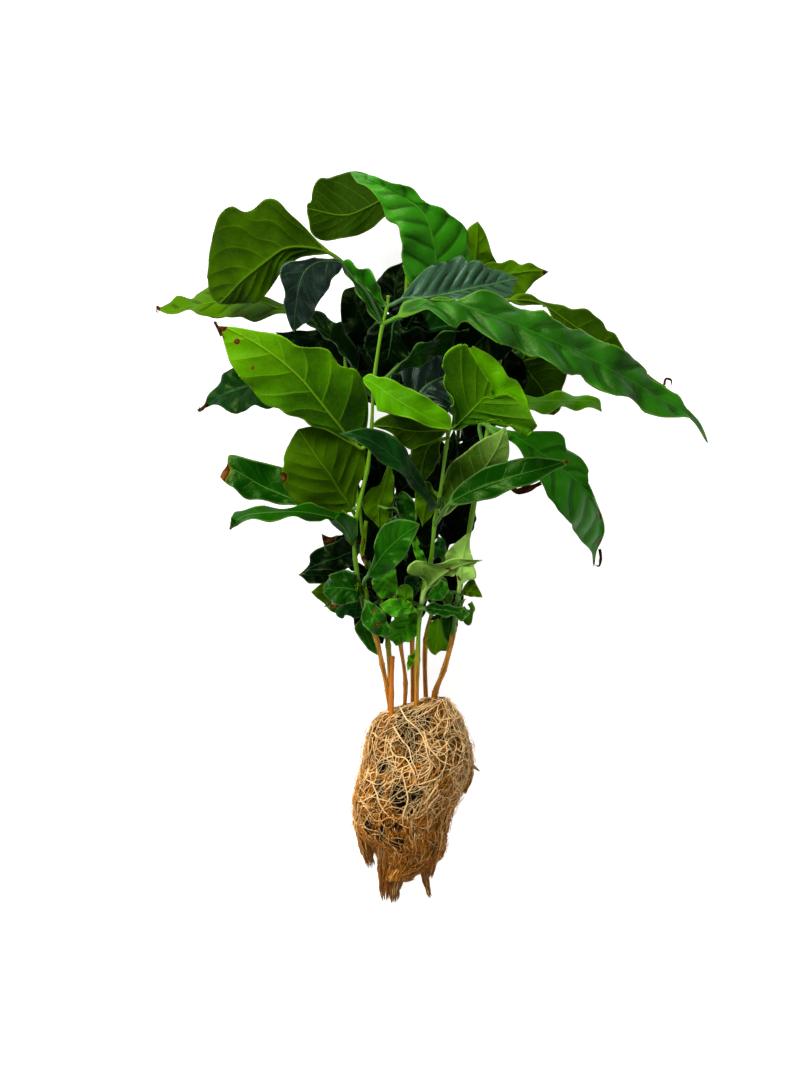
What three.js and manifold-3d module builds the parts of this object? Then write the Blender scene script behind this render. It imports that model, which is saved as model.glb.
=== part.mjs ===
// A clump of young coffee plants with bare roots, lying on its back.
// Lengths are millimetres. X runs across the clump, Y from the roots to the crown, and Z up from
// the surface that the clump lies on.
//
// Each plant is a thin upright stem. Its leaves sit on it in pairs, and the lower half of the
// stems has lost them. All the stems grow out of one plug of tangled roots, which kept the shape
// of the cup that it grew in.

import * as THREE from "three";
import Module from "manifold-3d";

const wasm = await Module();
wasm.setup();

// Driving dimensions
const BOX_MIDDLE = [0.35, 0.02];
const SOCKET_GAP = 0.3;
const SPINE_SAMPLES = 48;
const STEM_SIDES = 5;
const STEM_STEPS_PER_NODE = 2;
const STEM_SWELLING = 0.35;
const PETIOLE_RADIUS = 0.8;
const PETIOLE_THICKNESS = 1.6;
const MIDRIB_THICKNESS = 1.2;
const BLADE_THICKNESS = 0.8;
const PLUG_SIDES = 16;
const RUNNER_RADIUS = 1.1;

// Finishes
const FINISHES = {
  fresh: { color: "#3f8a1c", roughness: 0.42 },
  lime: { color: "#6da312", roughness: 0.45 },
  mid: { color: "#236b1e", roughness: 0.38 },
  deep: { color: "#0e3d1c", roughness: 0.3 },
  olive: { color: "#4c6a0c", roughness: 0.5 },
  pale: { color: "#7f9d4a", roughness: 0.55 },
  bark: { color: "#a8763a", roughness: 0.8 },
  root: { color: "#b58a52", roughness: 0.9 },
};

// Stems: the points are the nodes that the leaves grow from, counted from the roots.
const STEMS = {
  left: {
    base: 1.5,
    top: 1,
    points: [
      [-15, -76, 30], [-17, -60.5, 36], [-19.2, -50, 40], [-21.2, -40.5, 44], [-26.3, -27, 50],
      [-29.8, -8, 57], [-30.2, 1.2, 61], [-28.4, 13, 66], [-25, 28, 71], [-23.4, 42, 76],
      [-22.2, 63, 82], [-18.8, 85, 88], [-17, 92, 90], [-16.5, 96, 91],
    ],
  },
  right: {
    base: 1.4,
    top: 1,
    points: [
      [-5.6, -78, 33], [-5, -48, 44], [-4, -28.8, 51], [-2.6, -20, 55], [0.3, -8, 60], [2, 8, 65],
      [3.8, 17, 69], [6.3, 36.7, 76], [7.6, 43.6, 79],
    ],
  },
  centre: {
    base: 1.3,
    top: 0.9,
    points: [
      [-6.8, -74, 20], [-7.2, -39.6, 32], [-8.8, -16, 36], [-12, 16, 40], [-14.4, 56, 44],
      [-12, 80, 46], [-8.8, 96, 47],
    ],
  },
  inner: {
    base: 1.3,
    top: 0.9,
    points: [
      [-11, -76, 27], [-9.8, -58, 31], [-11.8, -42, 36], [-14, -24, 40], [-16, -4, 46],
      [-15.2, 16, 50], [-12.8, 34, 54], [-11.2, 48, 57],
    ],
  },
  pale: {
    base: 1.4,
    top: 0.9,
    points: [
      [-16, -75, 22], [-16.8, -42.4, 31], [-20, -24, 33], [-25.2, -8, 34], [-28.8, 16, 34],
      [-32, 40, 34], [-33.6, 64, 34], [-34.4, 78, 34],
    ],
  },
  back_right: {
    base: 1.3,
    top: 0.9,
    points: [
      [-1.2, -74, 18], [-1.6, -40.4, 24], [2.4, -24, 28], [6.4, -4, 30], [8.8, 16, 31],
      [11.2, 40, 31], [14, 64, 31], [16, 84, 31],
    ],
  },
  far_right: {
    base: 1.6,
    top: 1,
    points: [
      [0.4, -76, 26], [2.2, -61.5, 29], [5.6, -52.5, 31.5], [9, -39.5, 34.5], [12, -19, 41],
      [17.2, 12, 47], [21.6, 36, 52], [26, 60, 55], [29.2, 80, 57], [31.2, 94, 58],
    ],
  },
  stub: {
    base: 1.4,
    top: 1.1,
    points: [[-15.4, -80, 38], [-15.4, -62, 40.5], [-15.1, -46.8, 42]],
  },
};

// Leaves: each one runs from a node of its stem through its path to its tip.
// half is half of its greatest width, and face is where its upper side looks half way along.
const LEAF_DEFAULTS = {
  petiole: 0.1, broadest: 0.45, fold: 0.2, cup: -0.1, wave: 1.2, waves: 3, drip: 0.75, steps: 8,
};

const LEAVES = [
  // Crown of the left plant
  {
    name: "leaf_long_right", stem: "left", node: 11, tone: "fresh", half: 14, face: [0.1, 0.45, 0.9],
    wave: 2, waves: 5, petiole: 0.08, broadest: 0.47, steps: 16,
    path: [
      [-5.9, 91, 97], [3.9, 94.9, 101], [15.7, 90.6, 104], [33.3, 84.3, 105], [51, 76.4, 103],
      [66.6, 69, 99], [86.2, 58, 92], [102.5, 48.1, 86], [109.9, 37.9, 80],
    ],
  },
  {
    name: "leaf_quilted", stem: "left", node: 12, tone: "deep", half: 14, face: [0, -0.1, 1],
    path: [[-7.9, 95.4, 89], [2, 97, 89], [11.8, 99, 88], [21.7, 101, 86], [36.3, 104, 83]],
  },
  {
    name: "leaf_upper_left", stem: "left", node: 12, tone: "olive", half: 21, face: [0.3, 0.3, -0.9],
    petiole: 0.3, broadest: 0.55, fold: 0.3, drip: 0.5, steps: 12,
    path: [
      [-26, 100.5, 92], [-35.4, 110.3, 93], [-44.1, 113.9, 93], [-52.4, 115.8, 92],
      [-62.3, 114.3, 90], [-72, 109.5, 86], [-80, 103.5, 80], [-85, 98, 74],
    ],
  },
  {
    name: "leaf_dark_hanging", stem: "left", node: 11, tone: "deep", half: 8.5, face: [0.1, -0.2, 0.97],
    petiole: 0.42, broadest: 0.34, steps: 12,
    path: [
      [-26.7, 98.3, 94], [-33.3, 106.2, 100], [-37.2, 107, 101], [-43, 103.6, 102],
      [-48.8, 97.4, 101], [-51.8, 90.4, 98], [-53.4, 82.1, 91],
    ],
  },
  // Lower leaves of the left plant
  {
    name: "leaf_lime", stem: "left", node: 10, tone: "lime", half: 8.5, face: [-0.1, 0.2, 1],
    path: [[-21, 62, 92], [-13, 55.5, 99], [-3.1, 50.5, 101], [7.8, 44.3, 97]], petiole: 0.15,
  },
  {
    name: "leaf_big_left", stem: "left", node: 9, tone: "lime", half: 16.5, face: [-0.1, 0.1, -1],
    petiole: 0.05, broadest: 0.36, steps: 12,
    path: [
      [-27.5, 46.8, 86], [-39.3, 55, 93], [-50.3, 63.7, 97], [-60.1, 70.3, 98],
      [-70.7, 75.5, 98], [-81.7, 82.5, 96], [-83.7, 84.5, 94],
    ],
  },
  {
    name: "leaf_round_left", stem: "left", node: 7, tone: "olive", half: 17, face: [0, 0, -1],
    petiole: 0.04, broadest: 0.42, drip: 0.2,
    path: [
      [-35.6, 18.6, 70], [-41.4, 25, 75], [-45, 29.9, 77], [-47.6, 36.2, 78], [-49.9, 41.4, 77],
      [-51.7, 44, 75],
    ],
  },
  {
    name: "leaf_left_brown_tip", stem: "left", node: 7, tone: "mid", half: 9, face: [0, 0.1, 1],
    petiole: 0.14, broadest: 0.6, drip: 0.2,
    path: [[-38, 12.3, 60], [-52, 15.8, 57], [-67, 22.2, 56], [-78, 26, 55], [-83.6, 27, 54]],
  },
  {
    name: "leaf_left_low", stem: "left", node: 6, tone: "fresh", half: 10, face: [0, 0.93, 0.35],
    broadest: 0.55, drip: 0.2,
    path: [
      [-32.6, 4.4, 67], [-37.7, 8.3, 75], [-47.4, 10.3, 83], [-59.3, 10.5, 86],
      [-71.1, 9.4, 84], [-79.6, 4.3, 79],
    ],
  },
  {
    name: "leaf_centre_glossy", stem: "left", node: 4, tone: "mid", half: 7.5, face: [0, 0.1, 1],
    path: [[-25, -17, 58], [-19.9, -8, 66], [-11.9, -2, 70], [-2.4, 6.4, 71]],
  },
  {
    name: "leaf_low_left_round", stem: "left", node: 4.4, tone: "mid", half: 8, face: [0, 0, 1],
    path: [[-33, -20.5, 58], [-37.2, -20, 60], [-42.4, -19.2, 56]], steps: 6,
  },
  {
    name: "leaf_low_centre_left", stem: "left", node: 3.8, tone: "mid", half: 6, face: [0, 0, 1],
    path: [[-24, -30, 57], [-20, -34.4, 58], [-15.6, -38.8, 54]], steps: 6,
  },
  // Right plant
  {
    name: "leaf_cupped", stem: "right", node: 8, tone: "lime", half: 20, face: [0.2, 0.3, -0.9],
    path: [[16, 51.2, 88], [24, 59.2, 96], [29, 64, 106], [28, 60.8, 114], [26, 56.8, 116]],
    steps: 12,
  },
  {
    name: "leaf_under_lime", stem: "right", node: 7.5, tone: "olive", half: 10, face: [0, 0, -1],
    path: [[0, 44, 84], [-6, 43.2, 86], [-14, 44.8, 86], [-20, 48, 84]], steps: 6,
  },
  {
    name: "leaf_dark_diagonal", stem: "right", node: 6, tone: "deep", half: 6, face: [0.2, 0.3, 0.95],
    path: [[-2, 19, 80], [-11.8, 29.5, 90], [-21.6, 37, 96], [-35.8, 41.7, 97]],
  },
  {
    name: "leaf_pale", stem: "right", node: 6, tone: "pale", half: 9, face: [0, 0, -1],
    path: [[6.8, 20.7, 69], [13.9, 29.8, 67], [22.7, 36.6, 65], [30.6, 43.7, 62]],
  },
  {
    name: "leaf_right_low", stem: "right", node: 5, tone: "mid", half: 6.5, face: [-0.1, 0.2, 1],
    wave: 0.8,
    path: [
      [5.1, 11.9, 73], [13.8, 18.2, 78], [23.7, 22.9, 81], [35.6, 26.5, 82], [47.4, 29.6, 80],
      [55.5, 32.2, 77],
    ],
  },
  {
    name: "leaf_spoon", stem: "right", node: 3, tone: "pale", half: 7.5, face: [0, 0.7, -0.7],
    path: [[-4, -15.1, 62], [0, -11.5, 67], [9.9, -9.5, 70], [20.6, -7.7, 70]], broadest: 0.3,
  },
  {
    name: "leaf_low_right", stem: "right", node: 2, tone: "mid", half: 5, face: [0, 0.4, 0.9],
    path: [[4, -27.5, 55], [10.4, -28.2, 57], [15, -28.6, 58], [18.4, -28.2, 58]], steps: 6,
  },
  // Centre plant, behind
  {
    name: "leaf_crown", stem: "centre", node: 6, tone: "mid", half: 13.3, face: [0, 0.1, 1],
    broadest: 0.25, steps: 12,
    path: [
      [-2, 101.7, 56], [1.4, 110.7, 61], [-0.6, 121.5, 66], [-7, 126.5, 68], [-13, 130.6, 69],
      [-19.6, 136.6, 67], [-25, 140.6, 62], [-32.4, 147.4, 52],
    ],
  },
  {
    name: "leaf_crown_back", stem: "centre", node: 5.6, tone: "olive", half: 15.5, face: [0, 0, -1],
    petiole: 0.45, broadest: 0.7, drip: 0,
    path: [
      [-8, 104, 42], [-8.5, 118, 37], [-14, 128, 34], [-24, 132.5, 33], [-36, 134.5, 31],
      [-50, 134.5, 32],
    ],
  },
  {
    name: "leaf_dark_top", stem: "centre", node: 5, tone: "deep", half: 9, face: [0, 0, 1],
    path: [[-16, 92, 34], [-18, 100, 28], [-14, 109, 24]], steps: 6,
  },
  {
    name: "leaf_dark_inner", stem: "centre", node: 5, tone: "deep", half: 13, face: [0, 0, 1],
    path: [[-7.2, 82, 45], [-1.2, 84, 44], [8, 86, 42], [20, 86, 38]], steps: 6,
  },
  {
    name: "leaf_dark_narrow", stem: "centre", node: 5, tone: "deep", half: 7, face: [0.3, -0.4, 0.9],
    path: [[-7, 79, 60], [1.6, 79.6, 67], [12.8, 83.6, 68]], steps: 6,
  },
  {
    name: "leaf_back_left_high", stem: "centre", node: 4, tone: "deep", half: 14, face: [0, 0.2, 1],
    path: [[-30, 66, 22], [-48, 72, 8], [-62, 74, 0]], steps: 6,
  },
  // Inner plant
  {
    name: "leaf_dark_left", stem: "inner", node: 7, tone: "deep", half: 5.5, face: [0.3, 0.3, 0.9],
    path: [[-17, 58, 62], [-24, 66, 67], [-33, 76, 70], [-41, 85, 70], [-46.5, 91, 68]],
  },
  {
    name: "leaf_quilted_dark", stem: "inner", node: 6.5, tone: "deep", half: 15, face: [0, 0.1, 1],
    path: [[-7, 53, 55], [-2, 61, 54], [7, 66, 52], [18, 69.5, 50]],
  },
  {
    name: "leaf_olive_centre", stem: "inner", node: 6, tone: "olive", half: 8, face: [0, 0, -1],
    path: [[-18, 24, 58], [-20.8, 16, 60], [-22, 6.4, 58]], steps: 6,
  },
  {
    name: "leaf_dark_centre", stem: "inner", node: 5, tone: "deep", half: 9, face: [0, 0, 1],
    path: [[-8.6, 22.6, 54], [-2, 30, 52], [2, 38, 50]], steps: 6,
  },
  {
    name: "leaf_low_centre_green", stem: "inner", node: 4, tone: "mid", half: 6.5, face: [0, 0, 1],
    path: [[-18, -10, 52], [-18.4, -16, 54], [-17.6, -23.2, 52]], steps: 6,
  },
  {
    name: "leaf_low_centre", stem: "inner", node: 3, tone: "mid", half: 7, face: [0, 0, 1],
    path: [[-12.4, -28.4, 45], [-10.8, -35.6, 45.5], [-11.2, -42.4, 44]], steps: 6,
  },
  // Pale plant, back left
  {
    name: "leaf_far_left", stem: "pale", node: 7, tone: "fresh", half: 10, face: [0, 0.8, 0.6],
    path: [[-46, 86, 46], [-58.8, 91, 56], [-74, 94, 60], [-90, 95, 62], [-109.2, 92.4, 58]], steps: 6,
  },
  {
    name: "leaf_dark_level", stem: "pale", node: 6.6, tone: "deep", half: 7, face: [0, 0.3, 1],
    path: [[-46, 77, 32], [-61, 82, 31]], steps: 6,
  },
  {
    name: "leaf_left_behind", stem: "pale", node: 5.6, tone: "deep", half: 9.5, face: [0, 0.5, 0.87],
    fold: 0.3, broadest: 0.5, steps: 6,
    path: [[-46, 58, 38], [-62, 60.5, 40], [-76, 60, 40], [-86, 57, 38], [-93, 51.6, 36]],
  },
  {
    name: "leaf_low_left_dark", stem: "pale", node: 3, tone: "deep", half: 8, face: [0, 0.2, 1],
    path: [[-32.8, -4, 44], [-40, -7.2, 48], [-46, -10, 48], [-52.4, -13.6, 44]], steps: 6,
  },
  {
    name: "leaf_low_left_light", stem: "pale", node: 3, tone: "olive", half: 7, face: [0, 0, -1],
    path: [[-34, -19.2, 34], [-47.6, -20.8, 32]], steps: 6,
  },
  {
    name: "leaf_low_hanging_left", stem: "pale", node: 2, tone: "fresh", half: 4.2, face: [0, 0, 1],
    path: [[-24.5, -31, 35], [-26.4, -37, 36], [-24.6, -42, 35], [-21.2, -46.4, 34]], steps: 6,
  },
  // Back right plant
  {
    name: "leaf_brown_tip_right", stem: "back_right", node: 7, tone: "olive", half: 9, face: [0, 0, -1],
    path: [[18, 96, 40], [24, 103.2, 46], [34, 106, 50], [42, 107.2, 50], [47.2, 107.6, 48]],
    steps: 6,
  },
  {
    name: "leaf_olive_up", stem: "back_right", node: 6.6, tone: "olive", half: 9, face: [0, 0, -1],
    path: [[11.5, 88, 27], [14, 106, 28], [17, 118, 32], [19.2, 127.2, 36]], drip: 0.4, steps: 6,
  },
  {
    name: "leaf_back_right_high", stem: "back_right", node: 6, tone: "mid", half: 14, face: [0, 0.2, 1],
    path: [[30, 74, 16], [50, 80, 6], [68, 82, 0]], steps: 6,
  },
  {
    name: "leaf_low_right_back", stem: "back_right", node: 1.9, tone: "olive", half: 5.4, face: [0, 0, -1],
    path: [[3.4, -30, 27], [4.4, -36, 28], [3.4, -42, 28], [1.6, -46.4, 27]], drip: 0.2, steps: 6,
  },
  // Far right plant
  {
    name: "leaf_behind_long", stem: "far_right", node: 9, tone: "olive", half: 9.5, face: [0, 0, -1],
    path: [
      [40.5, 94.8, 60], [53, 90.4, 62], [65.2, 82.4, 62], [76.6, 73.2, 60], [88, 65.6, 56],
      [96, 63.2, 53],
    ],
  },
  {
    name: "leaf_olive_shade", stem: "far_right", node: 8, tone: "olive", half: 12, face: [0, 0, -1],
    path: [[34, 74, 46], [40, 66.8, 42], [45.2, 60, 42], [49.6, 50, 44]],
  },
  {
    name: "leaf_right_narrow", stem: "far_right", node: 7, tone: "fresh", half: 5.5,
    face: [0, 0.75, 0.65],
    path: [[34, 57.2, 60], [44, 56, 62], [56, 55.2, 61], [67.6, 53.4, 57]],
  },
  {
    name: "leaf_right_hanging", stem: "far_right", node: 6, tone: "mid", half: 9.5, face: [0.2, 0.1, 1],
    waves: 4, petiole: 0.08, broadest: 0.46, steps: 12,
    path: [
      [30.8, 42.8, 57], [41, 38, 58], [48.8, 30.6, 57], [54.6, 22.6, 54], [59.4, 13.6, 49],
      [63.2, 4, 41], [65.6, -4.8, 32], [65.2, -11.2, 25],
    ],
  },
  {
    name: "leaf_pale_right", stem: "far_right", node: 4, tone: "pale", half: 6, face: [0, 0, -1],
    path: [[13.5, -12, 47], [13, -4, 50], [15.5, 2.8, 50]], steps: 6,
  },
  {
    name: "leaf_small_right", stem: "far_right", node: 3.6, tone: "olive", half: 5, face: [0, 0, 1],
    path: [[16, -20.6, 43], [20.8, -22.8, 44]], steps: 6,
  },
  {
    name: "leaf_low_round", stem: "far_right", node: 3.9, tone: "mid", half: 5, face: [0, 0, 1],
    path: [[7.2, -19.4, 46], [3.2, -22.4, 48], [-0.8, -26.4, 48]], steps: 6,
  },
];

// Root plug: stations from the top down, as height along Y, left and right side in X, middle
// height above the surface, and depth through the plug.
const PLUG = [
  { y: -64.5, left: -12, right: 4, middle: 28, depth: 14 },
  { y: -67, left: -18, right: 9.3, middle: 27, depth: 30 },
  { y: -72, left: -22, right: 13.5, middle: 26, depth: 38 },
  { y: -78, left: -25.5, right: 16, middle: 24, depth: 43 },
  { y: -87, left: -27, right: 17.5, middle: 22, depth: 47 },
  { y: -96, left: -29, right: 17, middle: 21, depth: 46 },
  { y: -105.6, left: -31.2, right: 13, middle: 19, depth: 43 },
  { y: -114, left: -30.5, right: 8.5, middle: 17, depth: 39 },
  { y: -124, left: -27, right: 7, middle: 14.5, depth: 33 },
  { y: -131, left: -21.5, right: 4, middle: 12, depth: 25 },
  { y: -137, left: -19.5, right: -6, middle: 10.5, depth: 17 },
];

// Tufts and flaps of matted root, and a spur on the right side.
const TUFTS = [
  { base: 5.5, tip: 2, points: [[-13, -124, 14], [-15, -138, 11], [-14.6, -148.4, 8]] },
  { base: 3, tip: 0.8, points: [[-17, -134, 12], [-18.4, -142, 11], [-18.6, -148, 9]] },
  { base: 5, tip: 1.8, points: [[-24, -108, 20], [-27, -122, 15], [-25.4, -133.5, 10]] },
  { base: 5, tip: 0.8, points: [[-1.5, -122, 15], [-1.4, -134, 12], [0.2, -144.4, 9]] },
  { base: 3, tip: 0.8, points: [[12, -90, 22], [16.5, -92, 22], [19.6, -94.6, 22]] },
];

// Thick roots that stand out of the plug, on the side that faces up.
const RUNNERS = [
  [[-14, -70, 44], [-20, -82, 40], [-26, -96, 32], [-30, -110, 22]],
  [[-9, -68, 43], [-12, -82, 45], [-20, -95, 42], [-22, -108, 37]],
  [[-4, -68, 42], [0, -80, 45], [6, -92, 42], [6, -106, 34]],
  [[4, -90, 43], [-8, -101, 43.5], [-16, -114, 35], [-18, -126, 24]],
];

// Material of one finish, with its colour, roughness and no metal.
function material(finish) {
  return new THREE.MeshStandardMaterial({ ...FINISHES[finish], metalness: 0, flatShading: true });
}

// Closed solid through rings of points, with a fan from each end ring to an end point.
// Nothing reaches below the surface that the clump lies on.
function loft(rings, start, end) {
  const sides = rings[0].length;
  const corners = [...rings.flat(), start, end];
  const vertices = corners.flatMap((corner) => [corner.x, corner.y, Math.max(corner.z, 0)]);
  const startIndex = corners.length - 2;
  const endIndex = corners.length - 1;
  const lastRing = (rings.length - 1) * sides;
  const triangles = [];
  for (let side = 0; side < sides; side += 1) {
    const next = (side + 1) % sides;
    triangles.push(startIndex, next, side);
    triangles.push(endIndex, lastRing + side, lastRing + next);
    for (let ring = 0; ring < rings.length - 1; ring += 1) {
      const here = ring * sides;
      const there = here + sides;
      triangles.push(here + side, here + next, there + side);
      triangles.push(here + next, there + next, there + side);
    }
  }
  const solid = toSolid(vertices, triangles);
  return solid.volume() > 0 ? solid : toSolid(vertices, triangles.toReversed());
}

// Solid for joining and cutting, from corner coordinates and triangles of corner numbers.
function toSolid(vertices, triangles) {
  return new wasm.Manifold(new wasm.Mesh({
    numProp: 3,
    vertProperties: new Float32Array(vertices),
    triVerts: new Uint32Array(triangles),
  }));
}

// The largest of the bodies that a cut has left.
function largestBody(solid) {
  return solid.decompose().reduce((best, body) => (body.volume() > best.volume() ? body : best));
}

// Named mesh of a solid in one finish.
function toMesh(solid, name, finish) {
  const { vertProperties, triVerts } = solid.getMesh();
  const geometry = new THREE.BufferGeometry();
  geometry.setAttribute("position", new THREE.BufferAttribute(vertProperties, 3));
  geometry.setIndex(new THREE.BufferAttribute(triVerts, 1));
  const mesh = new THREE.Mesh(geometry, material(finish));
  mesh.name = name;
  return mesh;
}

// Smooth curve through points given as [x, y, z].
function curveThrough(points) {
  const corners = points.map((point) => new THREE.Vector3(...point));
  return new THREE.CatmullRomCurve3(corners, false, "centripetal");
}

// Centreline of a stem, and the place of one of its nodes on it.
const stemCurves = {};
for (const [name, stem] of Object.entries(STEMS)) {
  stemCurves[name] = curveThrough(stem.points);
}

function stemNode(name, node) {
  return stemCurves[name].getPoint(node / (STEMS[name].points.length - 1));
}

// Ring of points round a centre, square to a direction.
function ringAround(centre, forward, radius, sides) {
  const across = new THREE.Vector3(0, 0, 1).cross(forward).normalize();
  const above = forward.clone().cross(across);
  return Array.from({ length: sides }, (unused, side) => {
    const angle = (2 * Math.PI * side) / sides;
    return centre.clone()
      .addScaledVector(across, radius * Math.cos(angle))
      .addScaledVector(above, radius * Math.sin(angle));
  });
}

// Round rod along a curve, with its radius given at each fraction of the curve.
function rod(curve, steps, sides, radiusAt) {
  const rings = [];
  for (let step = 0; step <= steps; step += 1) {
    const along = step / steps;
    rings.push(ringAround(curve.getPoint(along), curve.getTangent(along), radiusAt(along), sides));
  }
  return loft(rings, curve.getPoint(0), curve.getPoint(1));
}

// Stem that tapers to its top and swells at each node, grown by a clearance on all sides.
function stemSolid(name, clearance) {
  const { base, top, points } = STEMS[name];
  const gaps = points.length - 1;
  const radiusAt = (along) => {
    const swelling = STEM_SWELLING * Math.cos(Math.PI * along * gaps) ** 2;
    return THREE.MathUtils.lerp(base, top, along) + swelling + clearance;
  };
  return rod(stemCurves[name], gaps * STEM_STEPS_PER_NODE, STEM_SIDES, radiusAt);
}

// Half-width of a leaf at a fraction of its whole length: a narrow stalk, then a blade that is
// widest at broadest and draws in to a drip tip.
function halfWidth(leaf, along) {
  const blade = (along - leaf.petiole) / (1 - leaf.petiole);
  if (blade <= 0) {
    return PETIOLE_RADIUS;
  }
  const spread = Math.log(0.5) / Math.log(leaf.broadest);
  const body = Math.sin(Math.PI * blade ** spread) ** 1.1;
  const width = leaf.half * body * (1 - leaf.drip * THREE.MathUtils.smoothstep(blade, 0.82, 1));
  return blade < 0.5 ? Math.max(width, PETIOLE_RADIUS) : width;
}

// Places along a leaf's midrib, each with the way that the upper side looks and the way across.
// The upper side looks along face half way, and turns no more than the midrib does from there.
function midrib(leaf) {
  const start = stemNode(leaf.stem, leaf.node).toArray();
  const spine = curveThrough([start, ...leaf.path]).getSpacedPoints(SPINE_SAMPLES);
  const forwards = spine.map((point, index) => {
    const before = spine[Math.max(index - 1, 0)];
    const after = spine[Math.min(index + 1, SPINE_SAMPLES)];
    return after.clone().sub(before).normalize();
  });
  const square = (up, index) => (
    up.clone().addScaledVector(forwards[index], -up.dot(forwards[index])).normalize()
  );
  const half = SPINE_SAMPLES / 2;
  const normals = [];
  normals[half] = square(new THREE.Vector3(...leaf.face), half);
  for (let step = 1; step <= half; step += 1) {
    normals[half + step] = square(normals[half + step - 1], half + step);
    normals[half - step] = square(normals[half - step + 1], half - step);
  }
  return spine.map((point, index) => {
    const normal = normals[index];
    return { point, normal, side: forwards[index].clone().cross(normal) };
  });
}

// Height of the blade above its midrib's plane: two halves folded up from the midrib, curved
// back by cup, with a wavy margin.
function bladeHeight(leaf, along, across, width) {
  const blade = THREE.MathUtils.clamp((along - leaf.petiole) / (1 - leaf.petiole), 0, 1);
  const reach = Math.abs(across);
  const phase = leaf.half * 1.7 + (across > 0 ? 0 : 1.9);
  const ripple = Math.sin(2 * Math.PI * leaf.waves * blade + phase) * Math.sin(Math.PI * blade);
  return width * (leaf.fold * reach + leaf.cup * reach ** 2) + leaf.wave * reach ** 1.5 * ripple;
}

// Ring round the leaf at one place along it: margin, upper side, margin and lower side.
function leafRing(leaf, place, along) {
  const width = halfWidth(leaf, along);
  const stalk = THREE.MathUtils.smoothstep(along, leaf.petiole, leaf.petiole + 0.15);
  const rib = THREE.MathUtils.lerp(PETIOLE_THICKNESS, MIDRIB_THICKNESS, stalk) / 2;
  const flat = BLADE_THICKNESS / 2;
  const section = [
    [-1, 0], [-0.5, flat], [0, rib], [0.5, flat], [1, 0], [0.5, -flat], [0, -rib], [-0.5, -flat],
  ];
  return section.map(([across, offset]) => {
    const slope = leaf.fold + leaf.cup * Math.abs(across);
    const height = bladeHeight(leaf, along, across, width) + offset;
    return place.point.clone()
      .addScaledVector(place.side, across * width * Math.sqrt(1 - slope ** 2))
      .addScaledVector(place.normal, height);
  });
}

// Leaf from the middle of its stem to its tip, cut back to the face of the stem.
function leafSolid(row) {
  const leaf = { ...LEAF_DEFAULTS, ...row };
  const places = midrib(leaf);
  const rings = [];
  for (let step = 0; step < leaf.steps; step += 1) {
    const place = places[(step * SPINE_SAMPLES) / leaf.steps];
    rings.push(leafRing(leaf, place, step / leaf.steps));
  }
  const whole = loft(rings, places[0].point, places[SPINE_SAMPLES].point);
  return largestBody(whole.subtract(stemSolid(leaf.stem, SOCKET_GAP)));
}

// Root plug: a rounded lumpy body, flat where it lies, with its tufts grown on and a socket
// for each stem.
function rootBall() {
  const rings = PLUG.map((station, row) => {
    const middle = (station.left + station.right) / 2;
    const half = (station.right - station.left) / 2;
    return Array.from({ length: PLUG_SIDES }, (unused, side) => {
      const angle = (2 * Math.PI * side) / PLUG_SIDES;
      const lump = 1 + 0.03 * Math.sin(3 * angle + row * 1.7) + 0.03 * Math.sin(5 * angle - row * 2.3);
      return new THREE.Vector3(
        middle + half * lump * Math.cos(angle),
        station.y,
        station.middle + (station.depth / 2) * lump * Math.sin(angle),
      );
    });
  });
  const first = PLUG[0];
  const last = PLUG[PLUG.length - 1];
  const plug = loft(
    rings,
    new THREE.Vector3((first.left + first.right) / 2, first.y + 1, first.middle),
    new THREE.Vector3((last.left + last.right) / 2, last.y - 4, last.middle),
  );
  const tufts = TUFTS.map(({ base, tip, points }) => (
    rod(curveThrough(points), 3, 6, (along) => THREE.MathUtils.lerp(base, tip, along))
  ));
  const runners = RUNNERS.map((points) => rod(curveThrough(points), 5, 4, () => RUNNER_RADIUS));
  const grown = [...tufts, ...runners].reduce((body, part) => body.add(part), plug);
  const sockets = Object.keys(STEMS).map((name) => stemSolid(name, SOCKET_GAP));
  return largestBody(sockets.reduce((body, socket) => body.subtract(socket), grown));
}

// The whole clump, with its origin on the surface under the middle of its box.
const clump = new THREE.Group();
clump.position.set(-BOX_MIDDLE[0], -BOX_MIDDLE[1], 0);
clump.add(toMesh(rootBall(), "root_ball", "root"));
for (const name of Object.keys(STEMS)) {
  clump.add(toMesh(stemSolid(name, 0), `stem_${name}`, "bark"));
}
for (const row of LEAVES) {
  clump.add(toMesh(leafSolid(row), row.name, row.tone));
}

export default clump;
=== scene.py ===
"""Clump of young coffee plants with bare roots, lying on its back on a pale surface.

Each plant is a thin upright stem with its leaves in pairs. All the stems grow out of one plug of
tangled roots that kept the shape of the cup that it grew in. The tables below hold millimetres,
and the margins of the leaves tenths of them: X across the clump, Y from the roots to the crown,
and Z up from the surface. Meshes are built in millimetres and go into the frame in metres.
"""

from __future__ import annotations

import logging
from dataclasses import dataclass
from enum import Enum
from typing import Any, Iterable, Sequence

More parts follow.
